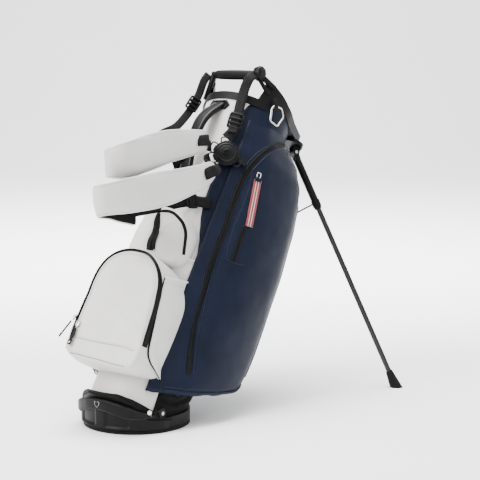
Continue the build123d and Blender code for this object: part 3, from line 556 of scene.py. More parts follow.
class Skin:
    """Nearest points on a finished piece, for laying zips, piping and stitching on it."""

    def __init__(self, obj):
        me = obj.data
        self.tree = BVHTree.FromPolygons([v.co.copy() for v in me.vertices],
                                         [tuple(p.vertices) for p in me.polygons])

    def lay(self, points, n, lift=0.0006, closed=False, soften=2):
        path = spline(points, n, closed)
        spots, normals = [], []
        for p in path:
            co, nrm, _, _ = self.tree.find_nearest(p)
            spots.append(co)
            normals.append(nrm)
        for _ in range(soften):
            normals = [(normals[max(i - 1, 0)] + normals[i] * 2 + normals[min(i + 1, n - 1)]).normalized()
                       for i in range(n)]
            spots = [spots[i] if i in (0, n - 1) else (spots[i - 1] + spots[i] * 2 + spots[i + 1]) / 4
                     for i in range(n)]
        return [c + d * lift for c, d in zip(spots, normals)], normals

    def bead(self, name, points, n, lift, radius, material, soften=2):
        """Piping along points."""
        path, _ = self.lay(points, n, lift, soften=soften)
        rope(name, path, radius, material, smooth_path=False)

    def sew(self, name, points, n, lift, thread, soften=2):
        """A row of stitches along points."""
        path, normals = self.lay(points, n, lift, soften=soften)
        stitches(name, path, normals, thread)


def zipper(name, skin, points, width, body="bag", n=80, widths=None, replaces=(), lift=0.0008, soften=2):
    """Coated zip tape with a line of moulded teeth down its middle."""
    path, normals = skin.lay(points, n, lift, soften=soften)
    tape = strap(name, path, normals, width, 0.0016, ZIP, body, n, replaces, widths=widths)
    dense, dnormals = spline([p + d * 0.0006 for p, d in zip(path, normals)], n * 4), spline(normals, n * 4)
    verts, faces, run, want = [], [], 0.0, 0.0
    for i in range(len(dense) - 1):
        a, b = dense[i], dense[i + 1]
        seg = (b - a).length
        if seg < 1e-7:
            continue
        t = (b - a).normalized()
        nrm = dnormals[i]
        side = t.cross(nrm).normalized()
        while want <= run + seg:
            c = a + t * (want - run)
            o = len(verts)
            for x, y, z in ((-1, -1, 0), (1, -1, 0), (1, 1, 0), (-1, 1, 0), (-0.8, -0.7, 1), (0.8, -0.7, 1),
                            (0.8, 0.7, 1), (-0.8, 0.7, 1)):
                verts.append(c + side * x * 0.0022 + t * y * 0.00085 + nrm * z * 0.0009)
            faces += [(o, o + 1, o + 5, o + 4), (o + 1, o + 2, o + 6, o + 5), (o + 2, o + 3, o + 7, o + 6),
                      (o + 3, o, o + 4, o + 7), (o + 4, o + 5, o + 6, o + 7)]
            want += 0.0026
        run += seg
    make(name + "_teeth", verts, faces, TEETH, body, smooth=False)
    return tape


def ripple(p, size=0.0008, scale=26.0, seed=0.0):
    return noise.noise(Vector(p) * scale + Vector((seed, seed * 1.7, -seed))) * size


# ---------------------------------------------------------------- camera, light, floor
cam_data = bpy.data.cameras.new("camera")
cam = bpy.data.objects.new("camera", cam_data)
bpy.context.scene.collection.objects.link(cam)
cam.location = (-2.4908, -2.178, 0.86)
cam.rotation_euler = (math.radians(90 - 7.4914), 0, math.radians(-53))
cam_data.lens, cam_data.sensor_width = 108.75, 36
cam_data.clip_start, cam_data.clip_end = 0.05, 60
bpy.context.scene.camera = cam

world = bpy.data.worlds.new("studio")
bpy.context.scene.world = world
world.use_nodes = True
world.node_tree.nodes["Background"].inputs[0].default_value = (0.93, 0.935, 0.94, 1)
world.node_tree.nodes["Background"].inputs[1].default_value = 1.15


def area(name, loc, target, size, power, colour=(1, 1, 1), size_y=None):
    d = bpy.data.lights.new(name, "AREA")
    d.energy, d.size, d.color = power, size, colour
    if size_y:
        d.shape, d.size_y = "RECTANGLE", size_y
    o = bpy.data.objects.new(name, d)
    bpy.context.scene.collection.objects.link(o)
    o.location = loc
    o.rotation_euler = (Vector(target) - Vector(loc)).to_track_quat("-Z", "Y").to_euler()
    return o


area("key", (-3.0, 0.9, 2.9), (0.1, 0, 0.4), 1.8, 230, (1, 0.99, 0.97))
area("fill", (-1.2, -3.4, 2.0), (0.2, 0, 0.4), 2.4, 26, (0.97, 0.98, 1))
area("top", (0.4, 0.3, 3.4), (0.2, 0, 0.3), 2.2, 280)
area("backdrop", (1.9, 1.45, 3.4), (5.4, 4.1, 1.0), 4.0, 900)
area("rim", (2.6, -1.6, 1.9), (0.3, 0, 0.4), 1.4, 30, (0.95, 0.97, 1))

fm, ft, fb, fc = new_material("floor")
fn = add(ft, "ShaderNodeTexNoise", Scale=3.0, Detail=2.0)
ft.links.new(fc.outputs["Object"], fn.inputs["Vector"])
floor_ramp = ramp(ft, fn.outputs["Fac"], [(0.3, (0.945, 0.945, 0.948)), (0.7, (0.955, 0.955, 0.958))])
ft.links.new(floor_ramp.outputs[0], fb.inputs["Base Color"])
fb.inputs["Roughness"].default_value = 0.8
floor_rows = []
for i in range(25):
    s = i / 24
    if s < 0.6:
        y, z = -6 + s / 0.6 * 12.5, 0.0
    else:
        a = (s - 0.6) / 0.4 * math.pi / 2
        y, z = 6.5 + 4 * math.sin(a), 4 * (1 - math.cos(a))
    floor_rows.append((y, z))
turn = Matrix.Rotation(math.radians(-53), 4, "Z")
fv = [turn @ Vector((x, y, z)) for y, z in floor_rows for x in (-9, 9)]
ff = [(2 * i, 2 * i + 1, 2 * i + 3, 2 * i + 2) for i in range(len(floor_rows) - 1)]
fme = bpy.data.meshes.new("floor")
fme.from_pydata([tuple(v) for v in fv], [], ff)
fme.materials.append(fm)
for poly in fme.polygons:
    poly.use_smooth = True
floor = bpy.data.objects.new("floor", fme)
bpy.context.scene.collection.objects.link(floor)


# ---------------------------------------------------------------- padded shell
def T(phi, w, r=TUBE):
    """Point of the shell; phi in degrees from the front, positive towards the near side."""
    a = math.radians(phi)
    return P(-r * math.cos(a), -r * math.sin(a), w)


def w_low(phi):
    """Lowest w of the shell at phi: in front it runs down inside the base, behind it stops above it."""
    w = 140.0
    while w > -80:
        p = T(phi, w, 110)
        inside = math.hypot(p.x, p.y) < 0.1145 and p.x < 0.018 and p.z > 0.043
        if p.z < 0.0785 and not inside:
            break
        w -= 1.0
    return w


EDGE = [(-60, 62), (33, 59.6), (65, 56), (109, 49), (135, 48.5), (221, 47.3), (280, 47.5), (333, 46.7),
        (380, 40.5), (409, 36), (446, 31), (474, 28.3), (559, 26.5), (672, 30), (721, 32), (743, 34),
        (758, 37.9), (777, 50.6), (790, 60)]


def shell(name, left, right, top, material, replaces, cols, seed, least):
    rows = 90
    rings = []
    lows = {}
    for i in range(rows + 1):
        ring = []
        for j in range(-1, cols + 2):
            f = min(max(j, 0), cols) / cols
            phi = left(300) + (right(300) - left(300)) * f
            key = round(phi)
            if key not in lows:
                lows[key] = max(w_low(key), least)
            tw = top(phi)
            w = lows[key] + (tw - lows[key]) * i / rows
            phi = left(w) + (right(w) - left(w)) * f
            pad = 1 - (2 * f - 1) ** 10
            r = TUBE + 1.3 * pad - 1.2 + ripple((phi / 40, w / 60, seed), 1.1, 1.0, seed)
            if j < 0 or j > cols:
                r = 107.4
            ring.append(T(phi, w, r))
        rings.append(ring)
    verts, faces = rings_mesh(rings, closed=False)
    return make(name, verts, faces, material, replaces=replaces)


FRONT_TOP = 758.0                # top edge of the white front, under the collar's band


def front_top(phi):
    return FRONT_TOP


def side_top(phi):
    """Top edge of the navy sides, which falls towards the legs."""
    if abs(phi) < 44 or abs(phi) > 316:
        return FRONT_TOP
    return interp([(-80, 806), (-58, 806), (0, 796), (60, 784), (112, 776)],
                  -110 * math.cos(math.radians(phi)))


shell("shell_front", lambda w: -interp(EDGE, w), lambda w: interp(EDGE, w), front_top, WHITE,
              ("front_panel",), 40, 1.0, -99)
sides = shell("shell_sides", lambda w: interp(EDGE, w) + 0.4, lambda w: 359.6 - interp(EDGE, w),
              side_top, NAVY, ("side_panel_near", "side_panel_far", "back_panel"), 110, 4.0, 26)

side_skin = Skin(sides)
for sign, tag in ((1, "near"), (-1, "far")):
    seam = [T(sign * (interp(EDGE, w) + 1.6), w, 112) for w in range(30, 760, 20)]
    side_skin.sew("seam_stitch_" + tag, seam, 220, 0.0002, THREAD_N)


# ---------------------------------------------------------------- apparel pockets
SECTION = [(-80, 80), (-73, 100), (-60, 113), (-28, 141), (20, 159), (75, 168), (122, 168), (152, 156),
           (168, 130), (168, 112), (150, 101), (112, 96), (84, 82), (60, 84)]
SWELL = [(60, 0.98), (200, 1.0), (300, 0.99), (400, 0.965), (526, 0.90), (580, 0.83), (634, 0.74),
         (680, 0.54), (711, 0.30), (725, 0.12), (740, 0.02), (748, 0.0)]
ZIP_LINE = [(24, 122, 711), (8, 125, 702), (-24, 124, 673), (-48, 116, 626), (-60, 111, 585), (-64, 109, 549),
            (-62, 110, 476), (-60, 111, 406), (-60, 110, 335), (-50, 116, 247), (-42, 119, 178),
            (-28, 123, 100), (-16, 125, 56), (-8, 127, 36)]


UNDER = [(-80, 4), (-60, 12), (-8, 32), (45, 56), (118, 92), (150, 118), (168, 140)]
FAR_RISE = [(-60, 26), (30, 0)]  # the far pocket starts higher in front
APPAREL_TOP = 748
SHELL_R = 108.0                  # the pockets' inner side lies on the shell


def under(u, sign=1):
    """Lower edge of the apparel pockets at u."""
    return max(0, -sign) * interp(FAR_RISE, u) + interp(UNDER, u)


def apparel(sign, tag):
    rows, n = 60, 96
    outline = spline([(u, v, 0) for u, v in SECTION], n, closed=True)
    rings = []
    for i in range(-4, rows + 1):
        s = max(i, 0) / rows
        ring = []
        for q in outline:
            u0, v0 = q.x, q.y
            rad = math.hypot(u0, v0)
            base = min(1.0, SHELL_R / rad)
            w0 = under(u0, sign)
            w = w0 + (APPAREL_TOP - w0) * s
            f = interp(SWELL, w)
            k = base + (1 - base) * f
            round_in = 1.0
            if s < 0.06:
                round_in = 1 - 0.05 * (1 - s / 0.06) ** 2
            k = base + (k - base) * round_in
            if i < 0:
                k = base + (k - base) * (1 + i * 0.24)
                w = w + (-i) * 0.9
            swell = 1 + 0.018 * math.sin(math.pi * min(s * 1.1, 1)) if v0 > 120 else 1
            u, v = u0 * k, v0 * k * swell
            if u0 > 70 and v0 < 118:
                v += 14 * min(max((w - 520) / 100, 0), 1) * min(f * 2, 1)
            p = P(u, -sign * v, w)
            out = D(u0, -sign * v0, 0)
            ring.append(p + out * (ripple(p, 0.0026, 11.0, 3.0 + sign) + ripple(p, 0.0008, 38.0, 7.0)) * f)
        rings.append(ring)
    verts, faces = rings_mesh(rings)
    return make("apparel_" + tag, verts, faces, NAVY, replaces=("apparel_pocket_" + tag,))


pocket = {}
for sign, tag in ((1, "near"), (-1, "far")):
    body_ = apparel(sign, tag)
    sk = Skin(body_)
    pocket[tag] = sk
    zipper("apparel_zip_" + tag, sk, [P(u, -sign * v, w) for u, v, w in ZIP_LINE], 0.0150, n=120, soften=18,
           replaces=("apparel_zipper_" + tag,))
    for shift, nm in ((-9.5, "a"), (9.5, "b")):
        line = []
        for u, v, w in ZIP_LINE:
            rad = math.hypot(u, v)
            tang = shift if w < 640 else shift * 0.9
            a = math.atan2(v, u) - tang / rad * (1 if w < 640 else 0.6)
            lift_w = 0 if w < 620 else -shift * 0.75
            line.append(P(rad * math.cos(a), -sign * rad * math.sin(a), w + lift_w))
        sk.bead("apparel_piping_%s_%s" % (tag, nm), line, 120, 0.0006, 0.0016, PIPE_NAVY, soften=18)
    base_line = [P(u * 0.985, -sign * v * 0.985, under(u, sign) + 5) for u, v in SECTION[2:11]]
    sk.bead("apparel_hem_" + tag, base_line, 90, 0.0010, 0.0030, PIPE_NAVY)
    base_line = [P(u * 0.985, -sign * v * 0.985, under(u, sign) + 15) for u, v in SECTION[2:11]]
    sk.sew("apparel_hem_stitch_" + tag, base_line, 200, 0.0002, THREAD_N)
    back_line = [P(150, -sign * 150, w) for w in range(150, 640, 35)]
    sk.bead("apparel_back_piping_" + tag, back_line, 60, 0.0007, 0.0022, PIPE_NAVY)


# ---------------------------------------------------------------- ball pocket
BALL = [(0, 15), (-48, 15), (-80, 17), (-93, 30), (-96, 60), (-97, 120), (-97, 180), (-93, 226), (-78, 265),
        (-50, 290), (-12, 299), (25, 298), (60, 286), (84, 262), (95, 222), (98, 170), (98, 110), (97, 60),
        (94, 32), (80, 19), (45, 15)]


def ball_edge(v, w):
    near = interp([(20, -166), (81, -166), (128, -173), (186, -181), (240, -190), (290, -196)], w)
    far = interp([(20, -196), (120, -193), (300, -194)], w)
    k = min(max((v + 97) / 194, 0), 1)
    return near + (far - near) * k


def soft_box(name, outline, edge, centre, crown, deep, replaces, material=WHITE, seed=1.0, round_=13, n=110,
             low=None):
    """A soft pocket: side walls from deep out to edge(v, w), then a crowned front, in millimetres."""
    loop = spline([(v, w, 0) for v, w in outline], n, closed=True)
    cv, cw = centre
    rings = []
    profile = [(0, 0.0, 0), (-1.0, 0.33, 0), (-2.0, 0.66, 0), (-1.2, 0.9, 0), (0, 1.0, 0),
               (round_ * 0.12, 1.0, 0.40), (round_ * 0.5, 1.0, 0.8), (round_ * 1.1, 1.0, 1.0)]
    for inset, k, over in profile:
        ring = []
        for q in loop:
            e = edge(q.x, q.y)
            d = math.hypot(q.x - cv, q.y - cw)
            f = 1 - inset / d
            v, w = cv + (q.x - cv) * f, cw + (q.y - cw) * f
            u = deep + (e - deep) * k - round_ * 0.72 * over
            if low:
                w += low(u, w)
            ring.append((u, v, w))
        rings.append(ring)
    last = rings[-1]
    for f in (0.88, 0.74, 0.58, 0.42, 0.26, 0.12):
        ring = []
        for (u, v, w) in last:
            bulge = crown * (1 - f * f)
            cu = sum(x[0] for x in last) / len(last)
            ring.append((u * f + cu * (1 - f) - bulge, cv + (v - cv) * f, cw + (w - cw) * f))
        rings.append(ring)
    out = []
    for ring in rings:
        row = []
        for u, v, w in ring:
            p = P(u, v, w)
            d = D(-1, (v - cv) / 220, (w - cw) / 400)
            row.append(p + d * (ripple(p, 0.0028, 14.0, seed) + ripple(p, 0.0010, 42.0, seed + 2)))
        out.append(row)
    verts, faces = rings_mesh(out, False, True)
    obj = make(name, verts, faces, material, replaces=replaces)
    s = obj.modifiers.new("sub", "SUBSURF")
    s.levels = s.render_levels = 1
    return obj


def ball_low(u, w):
    """Lifts the pocket's underside where it meets the shell, and lets it bulge in the middle."""
    if w > 45:
        return 0
    k = (45 - w) / 30
    return k * interp([(-205, 12), (-170, 4), (-140, 4), (-122, 10), (-70, 16)], u)


ball = soft_box("ball_pocket_soft", BALL, ball_edge, (0, 150), 4.5, -70, ("ball_pocket",), low=ball_low,
                round_=8)
bs = Skin(ball)
arch = [(-99, 80, 6), (-99, 120, 6), (-99, 180, 6), (-95, 226, 4), (-78, 260, -3), (-49, 285, -5),
        (-12, 293, -6), (24, 291, -7), (57, 279, -8), (78, 256, -9), (87, 221, -9), (88, 170, -9),
        (88, 110, -9), (86, 78, -9)]
zip_path = [P(ball_edge(v, w) + back, v, w) for v, w, back in arch]
zipper("ball_zip", bs, zip_path, 0.015, n=150, replaces=("ball_pocket_zipper",), soften=6,
       widths=lambda t: interp([(0, 0.0175), (0.22, 0.016), (0.36, 0.0085), (0.6, 0.0075), (1, 0.0095)], t))
bs.bead("ball_piping", [P(ball_edge(v, w) - 9, v * 0.93, 150 + (w - 150) * 0.955) for v, w, _ in arch], 150,
        0.0006, 0.0016, PIPE_WHITE, soften=6)
bs.sew("ball_stitch", [P(ball_edge(v, w) - 9, v * 0.89, 150 + (w - 150) * 0.92) for v, w, _ in arch], 420,
       0.0001, THREAD_W)
bs.sew("ball_cross_stitch", [P(-206, v, 66 + abs(v) * 0.01) for v in range(-92, 94, 12)], 260, 0.0002,
       THREAD_W)
bs.bead("ball_cross_seam", [P(-206, v, 62.5 + abs(v) * 0.01) for v in range(-92, 94, 12)], 60, -0.0004,
        0.0009, THREAD_W)
bs.bead("ball_lower_seam", [P(-204, v, 18 - 0.0006 * (v - 30) ** 2) for v in range(-80, 84, 12)], 60, 0.0003,
        0.0010, THREAD_W)

# ---------------------------------------------------------------- upper front pocket
UPPER = [(0, 296), (-45, 300), (-66, 318), (-70, 345), (-70, 378), (-62, 404), (-42, 420), (-8, 427),
         (22, 424), (42, 410), (51, 384), (54, 345), (54, 312), (40, 298)]


def upper_edge(v, w):
    near = interp([(300, -116), (332, -120), (388, -138), (410, -152)], w)
    far = -164
    k = min(max((v + 70) / 62, 0), 1)
    return near + (far - near) * k


upper = soft_box("upper_pocket_soft", UPPER, upper_edge, (-8, 362), 4.0, -80, ("upper_pocket",), seed=9.0,
                 round_=11)
us = Skin(upper)
band = [(-164, -11, 312), (-170, -9, 335), (-173, -6, 362), (-174, -1, 388), (-173, 1, 403), (-170, -8, 412),
        (-164, -26, 414), (-157, -44, 408), (-148, -60, 396), (-138, -69, 378), (-128, -71, 355),
        (-118, -72, 330)]
zipper("upper_zip", us, [P(u, v, w) for u, v, w in band], 0.02, n=120, replaces=("upper_pocket_zipper",),
       soften=14, widths=lambda t: interp([(0, 0.021), (0.30, 0.019), (0.44, 0.008), (0.6, 0.0075),
                                           (1, 0.0085)], t))
us.bead("upper_piping",
        [P(u - 2, v * 1.0 - (13 if i < 5 else 0) + (0 if i < 5 else 6), w - (0 if i < 5 else 6))
                        for i, (u, v, w) in enumerate(band)], 160, 0.0004, 0.0013, PIPE_WHITE, soften=14)

# ---------------------------------------------------------------- side drink sleeve and its hems
for sign, tag in ((1, "near"), (-1, "far")):
    left = spline([P(u, -sign * v, w) for u, v, w in
                   [(-174, 92, 246), (-173, 95, 215), (-166, 98, 169), (-154, 99, 112), (-143, 99, 75),
                    (-124, 98.5, 59), (-91, 99, 46), (-60, 103, 29)]], 40)
    right = spline([P(u, -sign * v, w) for u, v, w in
                    [(-81, 84.5, 277), (-77, 83.5, 240), (-76.5, 83, 200), (-76.5, 83, 150), (-73, 86, 110),
                     (-66, 92, 66), (-60, 98, 40), (-57, 102, 27)]], 40)
    rows = []
    for i, (a, b) in enumerate(zip(left, right)):
        row = []
        for j in range(15):
            f = j / 14
            p = a.lerp(b, f)
            p += D(-0.25, -sign, 0) * (0.0055 * math.sin(math.pi * f ** 0.75) * min(1, (b - a).length / 0.05))
            p += D(0, -sign, 0) * ripple(p, 0.0016, 30.0, 5)
            row.append(p)
        row = [row[0] + D(0, sign, 0) * 0.006] + row + [row[-1] + D(0.7, sign, 0) * 0.006]
        rows.append(row)
    verts, faces = rings_mesh(rows, closed=False)
    stands_for = ("side_sleeve_pocket",) if sign > 0 else ()
    sleeve = make("drink_sleeve_" + tag, verts, faces, WHITE, replaces=stands_for)
    rope("drink_hem_" + tag, rows[0][1:-1], 0.0026, PIPE_WHITE)
    ss = Skin(sleeve)
    ss.sew("drink_hem_stitch_" + tag, [p for p in rows[2][1:-1]], 60, 0.0003, THREAD_W)
    rope("side_seam_" + tag, [p + D(0, -sign, 0) * 0.0002 for p in left],
         lambda t: 0.0013 + 0.0013 * math.sin(math.pi * min(1, t * 1.15)), BLACK)
    cuff = []
    for k in range(14):
        f = k / 13
        cuff.append([T(sign * phi, 262 + 69 * f, 112.8 + 4.6 * f ** 1.4)
                     for phi in (3.4, 8, 14, 20, 26, 32, 38, 43, 46)])
        cuff[-1].append(T(sign * 46.8, 262 + 69 * f, 110.5))
    verts, faces = rings_mesh(cuff, closed=False)
    make("cuff_panel_" + tag, verts, faces, WHITE)
    rope("cuff_hem_" + tag, [T(sign * phi, 331, 117.6) for phi in (3.4, 10, 18, 26, 34, 42, 46.4)], 0.0022,
         PIPE_WHITE)
    stitches("cuff_stitch_" + tag, spline([T(sign * phi, 322, 117.3) for phi in (4, 14, 24, 34, 45)], 80),
             D(-0.9, -0.4 * sign, 0), THREAD_W)


# ---------------------------------------------------------------- shoulder pads
def pad(name, near_top, near_bottom, tip, back_top, back_bottom, thick, replaces, seed):
    """A strap pad: near edge tables (x, y, z) top and bottom, round the tip, and back on the far side."""
    top = spline(near_top + tip[0] + back_top, 90)
    bottom = spline(near_bottom + tip[1] + back_bottom, 90)
    rings = []
    m = len(top)
    for i in range(m):
        a, b = top[i], bottom[i]
        t = (top[min(i + 1, m - 1)] - top[max(i - 1, 0)] + bottom[min(i + 1, m - 1)]
             - bottom[max(i - 1, 0)]).normalized()
        up = (a - b)
        half = up.length / 2
        up.normalize()
        out = up.cross(t).normalized()
        c = (a + b) / 2
        end = min(1, min(i, m - 1 - i) / 3 + 0.45)
        ring = []
        for k in range(28):
            q = 2 * math.pi * k / 28
            x, y = math.cos(q), math.sin(q)
            sx = power(x, 0.34)
            sy = power(y, 0.62)
            crown = 1 + 0.22 * (1 - sx * sx)
            p = c + up * (sx * half) + out * (sy * thick / 2 * crown * end)
            ring.append(p + out * (ripple(p, 0.0026, 22.0, seed) + ripple(p, 0.0008, 60.0, seed)) * sy)
        rings.append(ring)
    verts, faces = rings_mesh(rings)
    which = []
    for i in range(len(rings) - 1):
        for k in range(28):
            which.append(1 if 15 <= k <= 26 else 0)
    which += [0] * 56
    obj = make(name, verts, faces, WHITE, replaces=replaces, extra=(MESH,), which=which)
    edge_t, edge_b, st_t, st_b, nn = [], [], [], [], []
    for ring in rings[1:-1]:
        c = sum(ring, Vector()) / 28
        o = (ring[7] - ring[21]).normalized()
        u = (ring[0] - ring[14]).normalized()
        edge_t.append(ring[0] + o * 0.001)
        edge_b.append(ring[14] + o * 0.001)
        st_t.append(ring[3] + o * 0.0004)
        st_b.append(ring[11] + o * 0.0004)
        nn.append(o)
    rope(name + "_bind_top", edge_t, 0.0024, PIPE_WHITE, n=120)
    rope(name + "_bind_low", edge_b, 0.0024, PIPE_WHITE, n=120)
    dense = spline(st_b, 300)
    stitches(name + "_stitch_low", dense, spline(nn, 300), THREAD_W)
    dense = spline(st_t, 300)
    stitches(name + "_stitch_top", dense, spline(nn, 300), THREAD_W)


def V3(rows):
    return [(x / 1000, y / 1000, z / 1000) for x, y, z in rows]


up_top = V3([(196, -52, 668), (170, -50, 671), (144, -47, 673), (94, -43, 675), (45, -39, 673),
             (-3, -35, 666), (-40, -30, 658), (-62, -22, 652)])
up_bot = V3([(200, -52, 627), (176, -50, 620), (127, -46, 611), (77, -42, 603), (28, -38, 592),
             (-10, -34, 584), (-40, -29, 577), (-60, -21, 574)])
up_tip = (V3([(-76, -6, 644), (-78, 8, 639), (-66, 24, 636)]),
          V3([(-74, -6, 575), (-75, 8, 575), (-64, 24, 575)]))
up_back = (V3([(-36, 36, 638), (4, 42, 645), (60, 48, 649), (110, 54, 650)]),
           V3([(-34, 36, 580), (6, 42, 588), (60, 48, 598), (112, 54, 603)]))
pad("pad_upper", up_top, up_bot, up_tip, up_back[0], up_back[1], 0.0115,
                       ("shoulder_pad_upper",), 2.0)
lo_top = V3([(190, -78, 596), (172, -76, 596), (142, -73, 592), (82, -67, 587), (18, -61, 584),
             (-44, -55, 579), (-95, -49, 574), (-118, -40, 570)])
lo_bot = V3([(200, -78, 566), (165, -75, 540), (115, -70, 525), (65, -65, 512), (17, -60, 505),
             (-30, -56, 502), (-85, -49, 500), (-108, -40, 500)])
lo_tip = (V3([(-142, -26, 565), (-144, -12, 562), (-132, 0, 556)]),
          V3([(-131, -26, 498), (-133, -12, 494), (-120, 0, 489)]))
lo_back = (V3([(-90, 6, 548), (-50, 10, 538), (10, 14, 525)]),
           V3([(-80, 6, 482), (-44, 10, 472), (16, 14, 458)]))
pad("pad_lower", lo_top, lo_bot, lo_tip, lo_back[0], lo_back[1], 0.0115,
                       ("shoulder_pad_lower",), 6.0)

# ---------------------------------------------------------------- strap hub, arms and webbing
hub_dir = D(math.cos(math.radians(216)), math.sin(math.radians(216)), 0)
hub_c = P(-106, -71, 608)
DISC = [(0, -8), (24, -8), (29, -4), (31, 0), (31.5, 3), (30.5, 5.5), (28.5, 6.5), (27, 5.6), (26, 6.2),
        (23.5, 8.8), (21.5, 9.4), (20.5, 8.6), (19.5, 8.6), (17, 9.6), (10, 10.2), (4, 10.3), (0, 10.3)]
CAP = [(0, 9.9), (8, 9.9), (9, 10.6), (8.4, 11.4), (6, 11.2), (0, 11)]
lathe("hub_disc", [(r * 0.001, z * 0.001) for r, z in DISC], hub_c, hub_dir, D(0, 0, 1), BLACK_PLASTIC,
      replaces=("strap_hub",))
lathe("hub_cap", [(r * 0.001, z * 0.001) for r, z in CAP], hub_c, hub_dir, D(0, 0, 1), GLOSS)
hub_x = D(0, 0, 1)
hub_y = hub_dir.cross(hub_x).normalized()


def hub_at(r, deg, out=0.0):
    """Point on the hub's face plane; deg turns from up towards the front."""
    a = math.radians(deg)
    return hub_c + hub_x * (r * math.cos(a)) + hub_y * (r * math.sin(a)) * HUB_TURN + hub_dir * out


HUB_TURN = 1 if (hub_y.x < 0) else -1


def ring_link(name, centre, along, across_, half_l, half_w, r, material, body="bag"):
    pts = []
    for k in range(24):
        q = 2 * math.pi * k / 24
        x, y = math.cos(q), math.sin(q)
        pts.append(centre + along * half_l * power(x, 0.5) + across_ * half_w * power(y, 0.5))
    return rope(name, pts, r, material, body, closed=True, n=48)


for deg, nm, wide in ((20, "up", 0.012), (82, "pad_a", 0.013), (128, "pad_b", 0.013), (252, "back", 0.012)):
    c = hub_at(0.035, deg, 0.001)
    al = (hub_at(0.05, deg) - hub_at(0.02, deg)).normalized()
    ac = al.cross(hub_dir).normalized()
    ring_link("hub_ring_" + nm, c, al, ac, 0.0075, wide, 0.0018, BLACK_PLASTIC)
    lug = [hub_at(0.024, deg, -0.003) + ac * 0.009, hub_at(0.033, deg, -0.003) + ac * 0.007,
           hub_at(0.033, deg, -0.003) - ac * 0.007, hub_at(0.024, deg, -0.003) - ac * 0.009]
    slab("hub_lug_" + nm, lug, 0.006, hub_dir, BLACK_PLASTIC)

hub_a = hub_at(0.041, 82, 0.001)
strap("hub_tab_upper", [hub_a, hub_a + Vector((-0.012, 0.004, 0.002)), Vector((0.196, -0.0625, 0.648)),
                        Vector((0.178, -0.0612, 0.648)), Vector((0.166, -0.0598, 0.648)),
                        Vector((0.160, -0.0560, 0.648))], D(-0.5, -0.85, 0.1), 0.027, 0.0028,
      n=24, replaces=("hub_loops",))
hub_b = hub_at(0.041, 128, 0.001)
strap("hub_tab_lower", [hub_b, hub_b + Vector((-0.010, -0.001, -0.004)), Vector((0.192, -0.0885, 0.582)),
                        Vector((0.172, -0.0875, 0.576)), Vector((0.160, -0.0862, 0.572)),
                        Vector((0.154, -0.0820, 0.570))], D(-0.4, -0.9, 0.1), 0.027, 0.0028, n=24)
strap("pad_back_tab", [Vector((0.150, -0.035, 0.622)), Vector((0.120, -0.034, 0.608)),
                       Vector((0.095, -0.034, 0.598))],
      Vector((0, -1, 0.1)), 0.027, 0.003, n=16)
hub_d = hub_at(0.040, 252, 0.001)
strap("hub_tab_back", [hub_d, P(-68, -95, 613), P(-60, -102, 618), P(-52, -107, 621)],
      [hub_dir, D(-0.62, -0.78, 0), D(-0.5, -0.86, 0), D(-0.45, -0.89, 0)], 0.026, 0.0028, n=24)

top_hub = hub_at(0.041, 20, 0.001)
near_web = [P(-112, -72, 829), P(-121, -67, 812), P(-119, -62, 785), P(-115, -63, 745), P(-112, -66, 710),
            P(-110, -69, 675), top_hub]
near_n = [D(-0.8, -0.55, 0.2), D(-0.85, -0.5, 0), D(-0.85, -0.5, 0), D(-0.85, -0.5, 0), D(-0.85, -0.5, 0),
          D(-0.82, -0.55, 0), hub_dir]
strap("near_webbing", near_web, near_n, 0.0245, 0.0026, n=90, replaces=("collar_straps",))
far_web = [P(-106, 78, 830), P(-112, 79, 806), P(-111, 79, 767), P(-117, 79, 727), P(-128, 78, 692),
           P(-151, 73, 650), P(-190, 64, 612), Vector((0.150, 0.058, 0.652)), Vector((0.125, 0.055, 0.640))]
strap("far_webbing", far_web, Vector((-0.6, -0.75, 0.3)), 0.020, 0.0024, n=90)


def ladder(name, a, b, normal, width, body="bag", replaces=()):
    """Ladder-lock: a frame with three bars over the webbing."""
    al = (b - a).normalized()
    ac = al.cross(normal).normalized()
    nrm = ac.cross(al).normalized() if ac.cross(al).dot(normal) > 0 else -ac.cross(al).normalized()
    length = (b - a).length
    hw = width / 2
    obj = None
    for s, r in ((0.0, 0.0030), (0.36, 0.0034), (0.68, 0.0030), (1.0, 0.0026)):
        c = a + al * (length * s) + nrm * (0.0035 if s in (0.36, 0.68) else 0.0022)
        rope("%s_bar%d" % (name, int(s * 100)),
             [c - ac * hw, c - ac * hw * 0.4 + nrm * 0.0006, c + ac * hw * 0.4 + nrm * 0.0006, c + ac * hw],
             r, BLACK_PLASTIC, body, n=10)
    for sgn, nm in ((1, "l"), (-1, "r")):
        rope("%s_side_%s" % (name, nm),
             [a + ac * hw * sgn + nrm * 0.002, (a + b) / 2 + ac * hw * sgn * 1.04 + nrm * 0.003,
                                         b + ac * hw * sgn + nrm * 0.002], 0.0026, BLACK_PLASTIC, body, n=10,
             replaces=replaces if sgn > 0 else ())


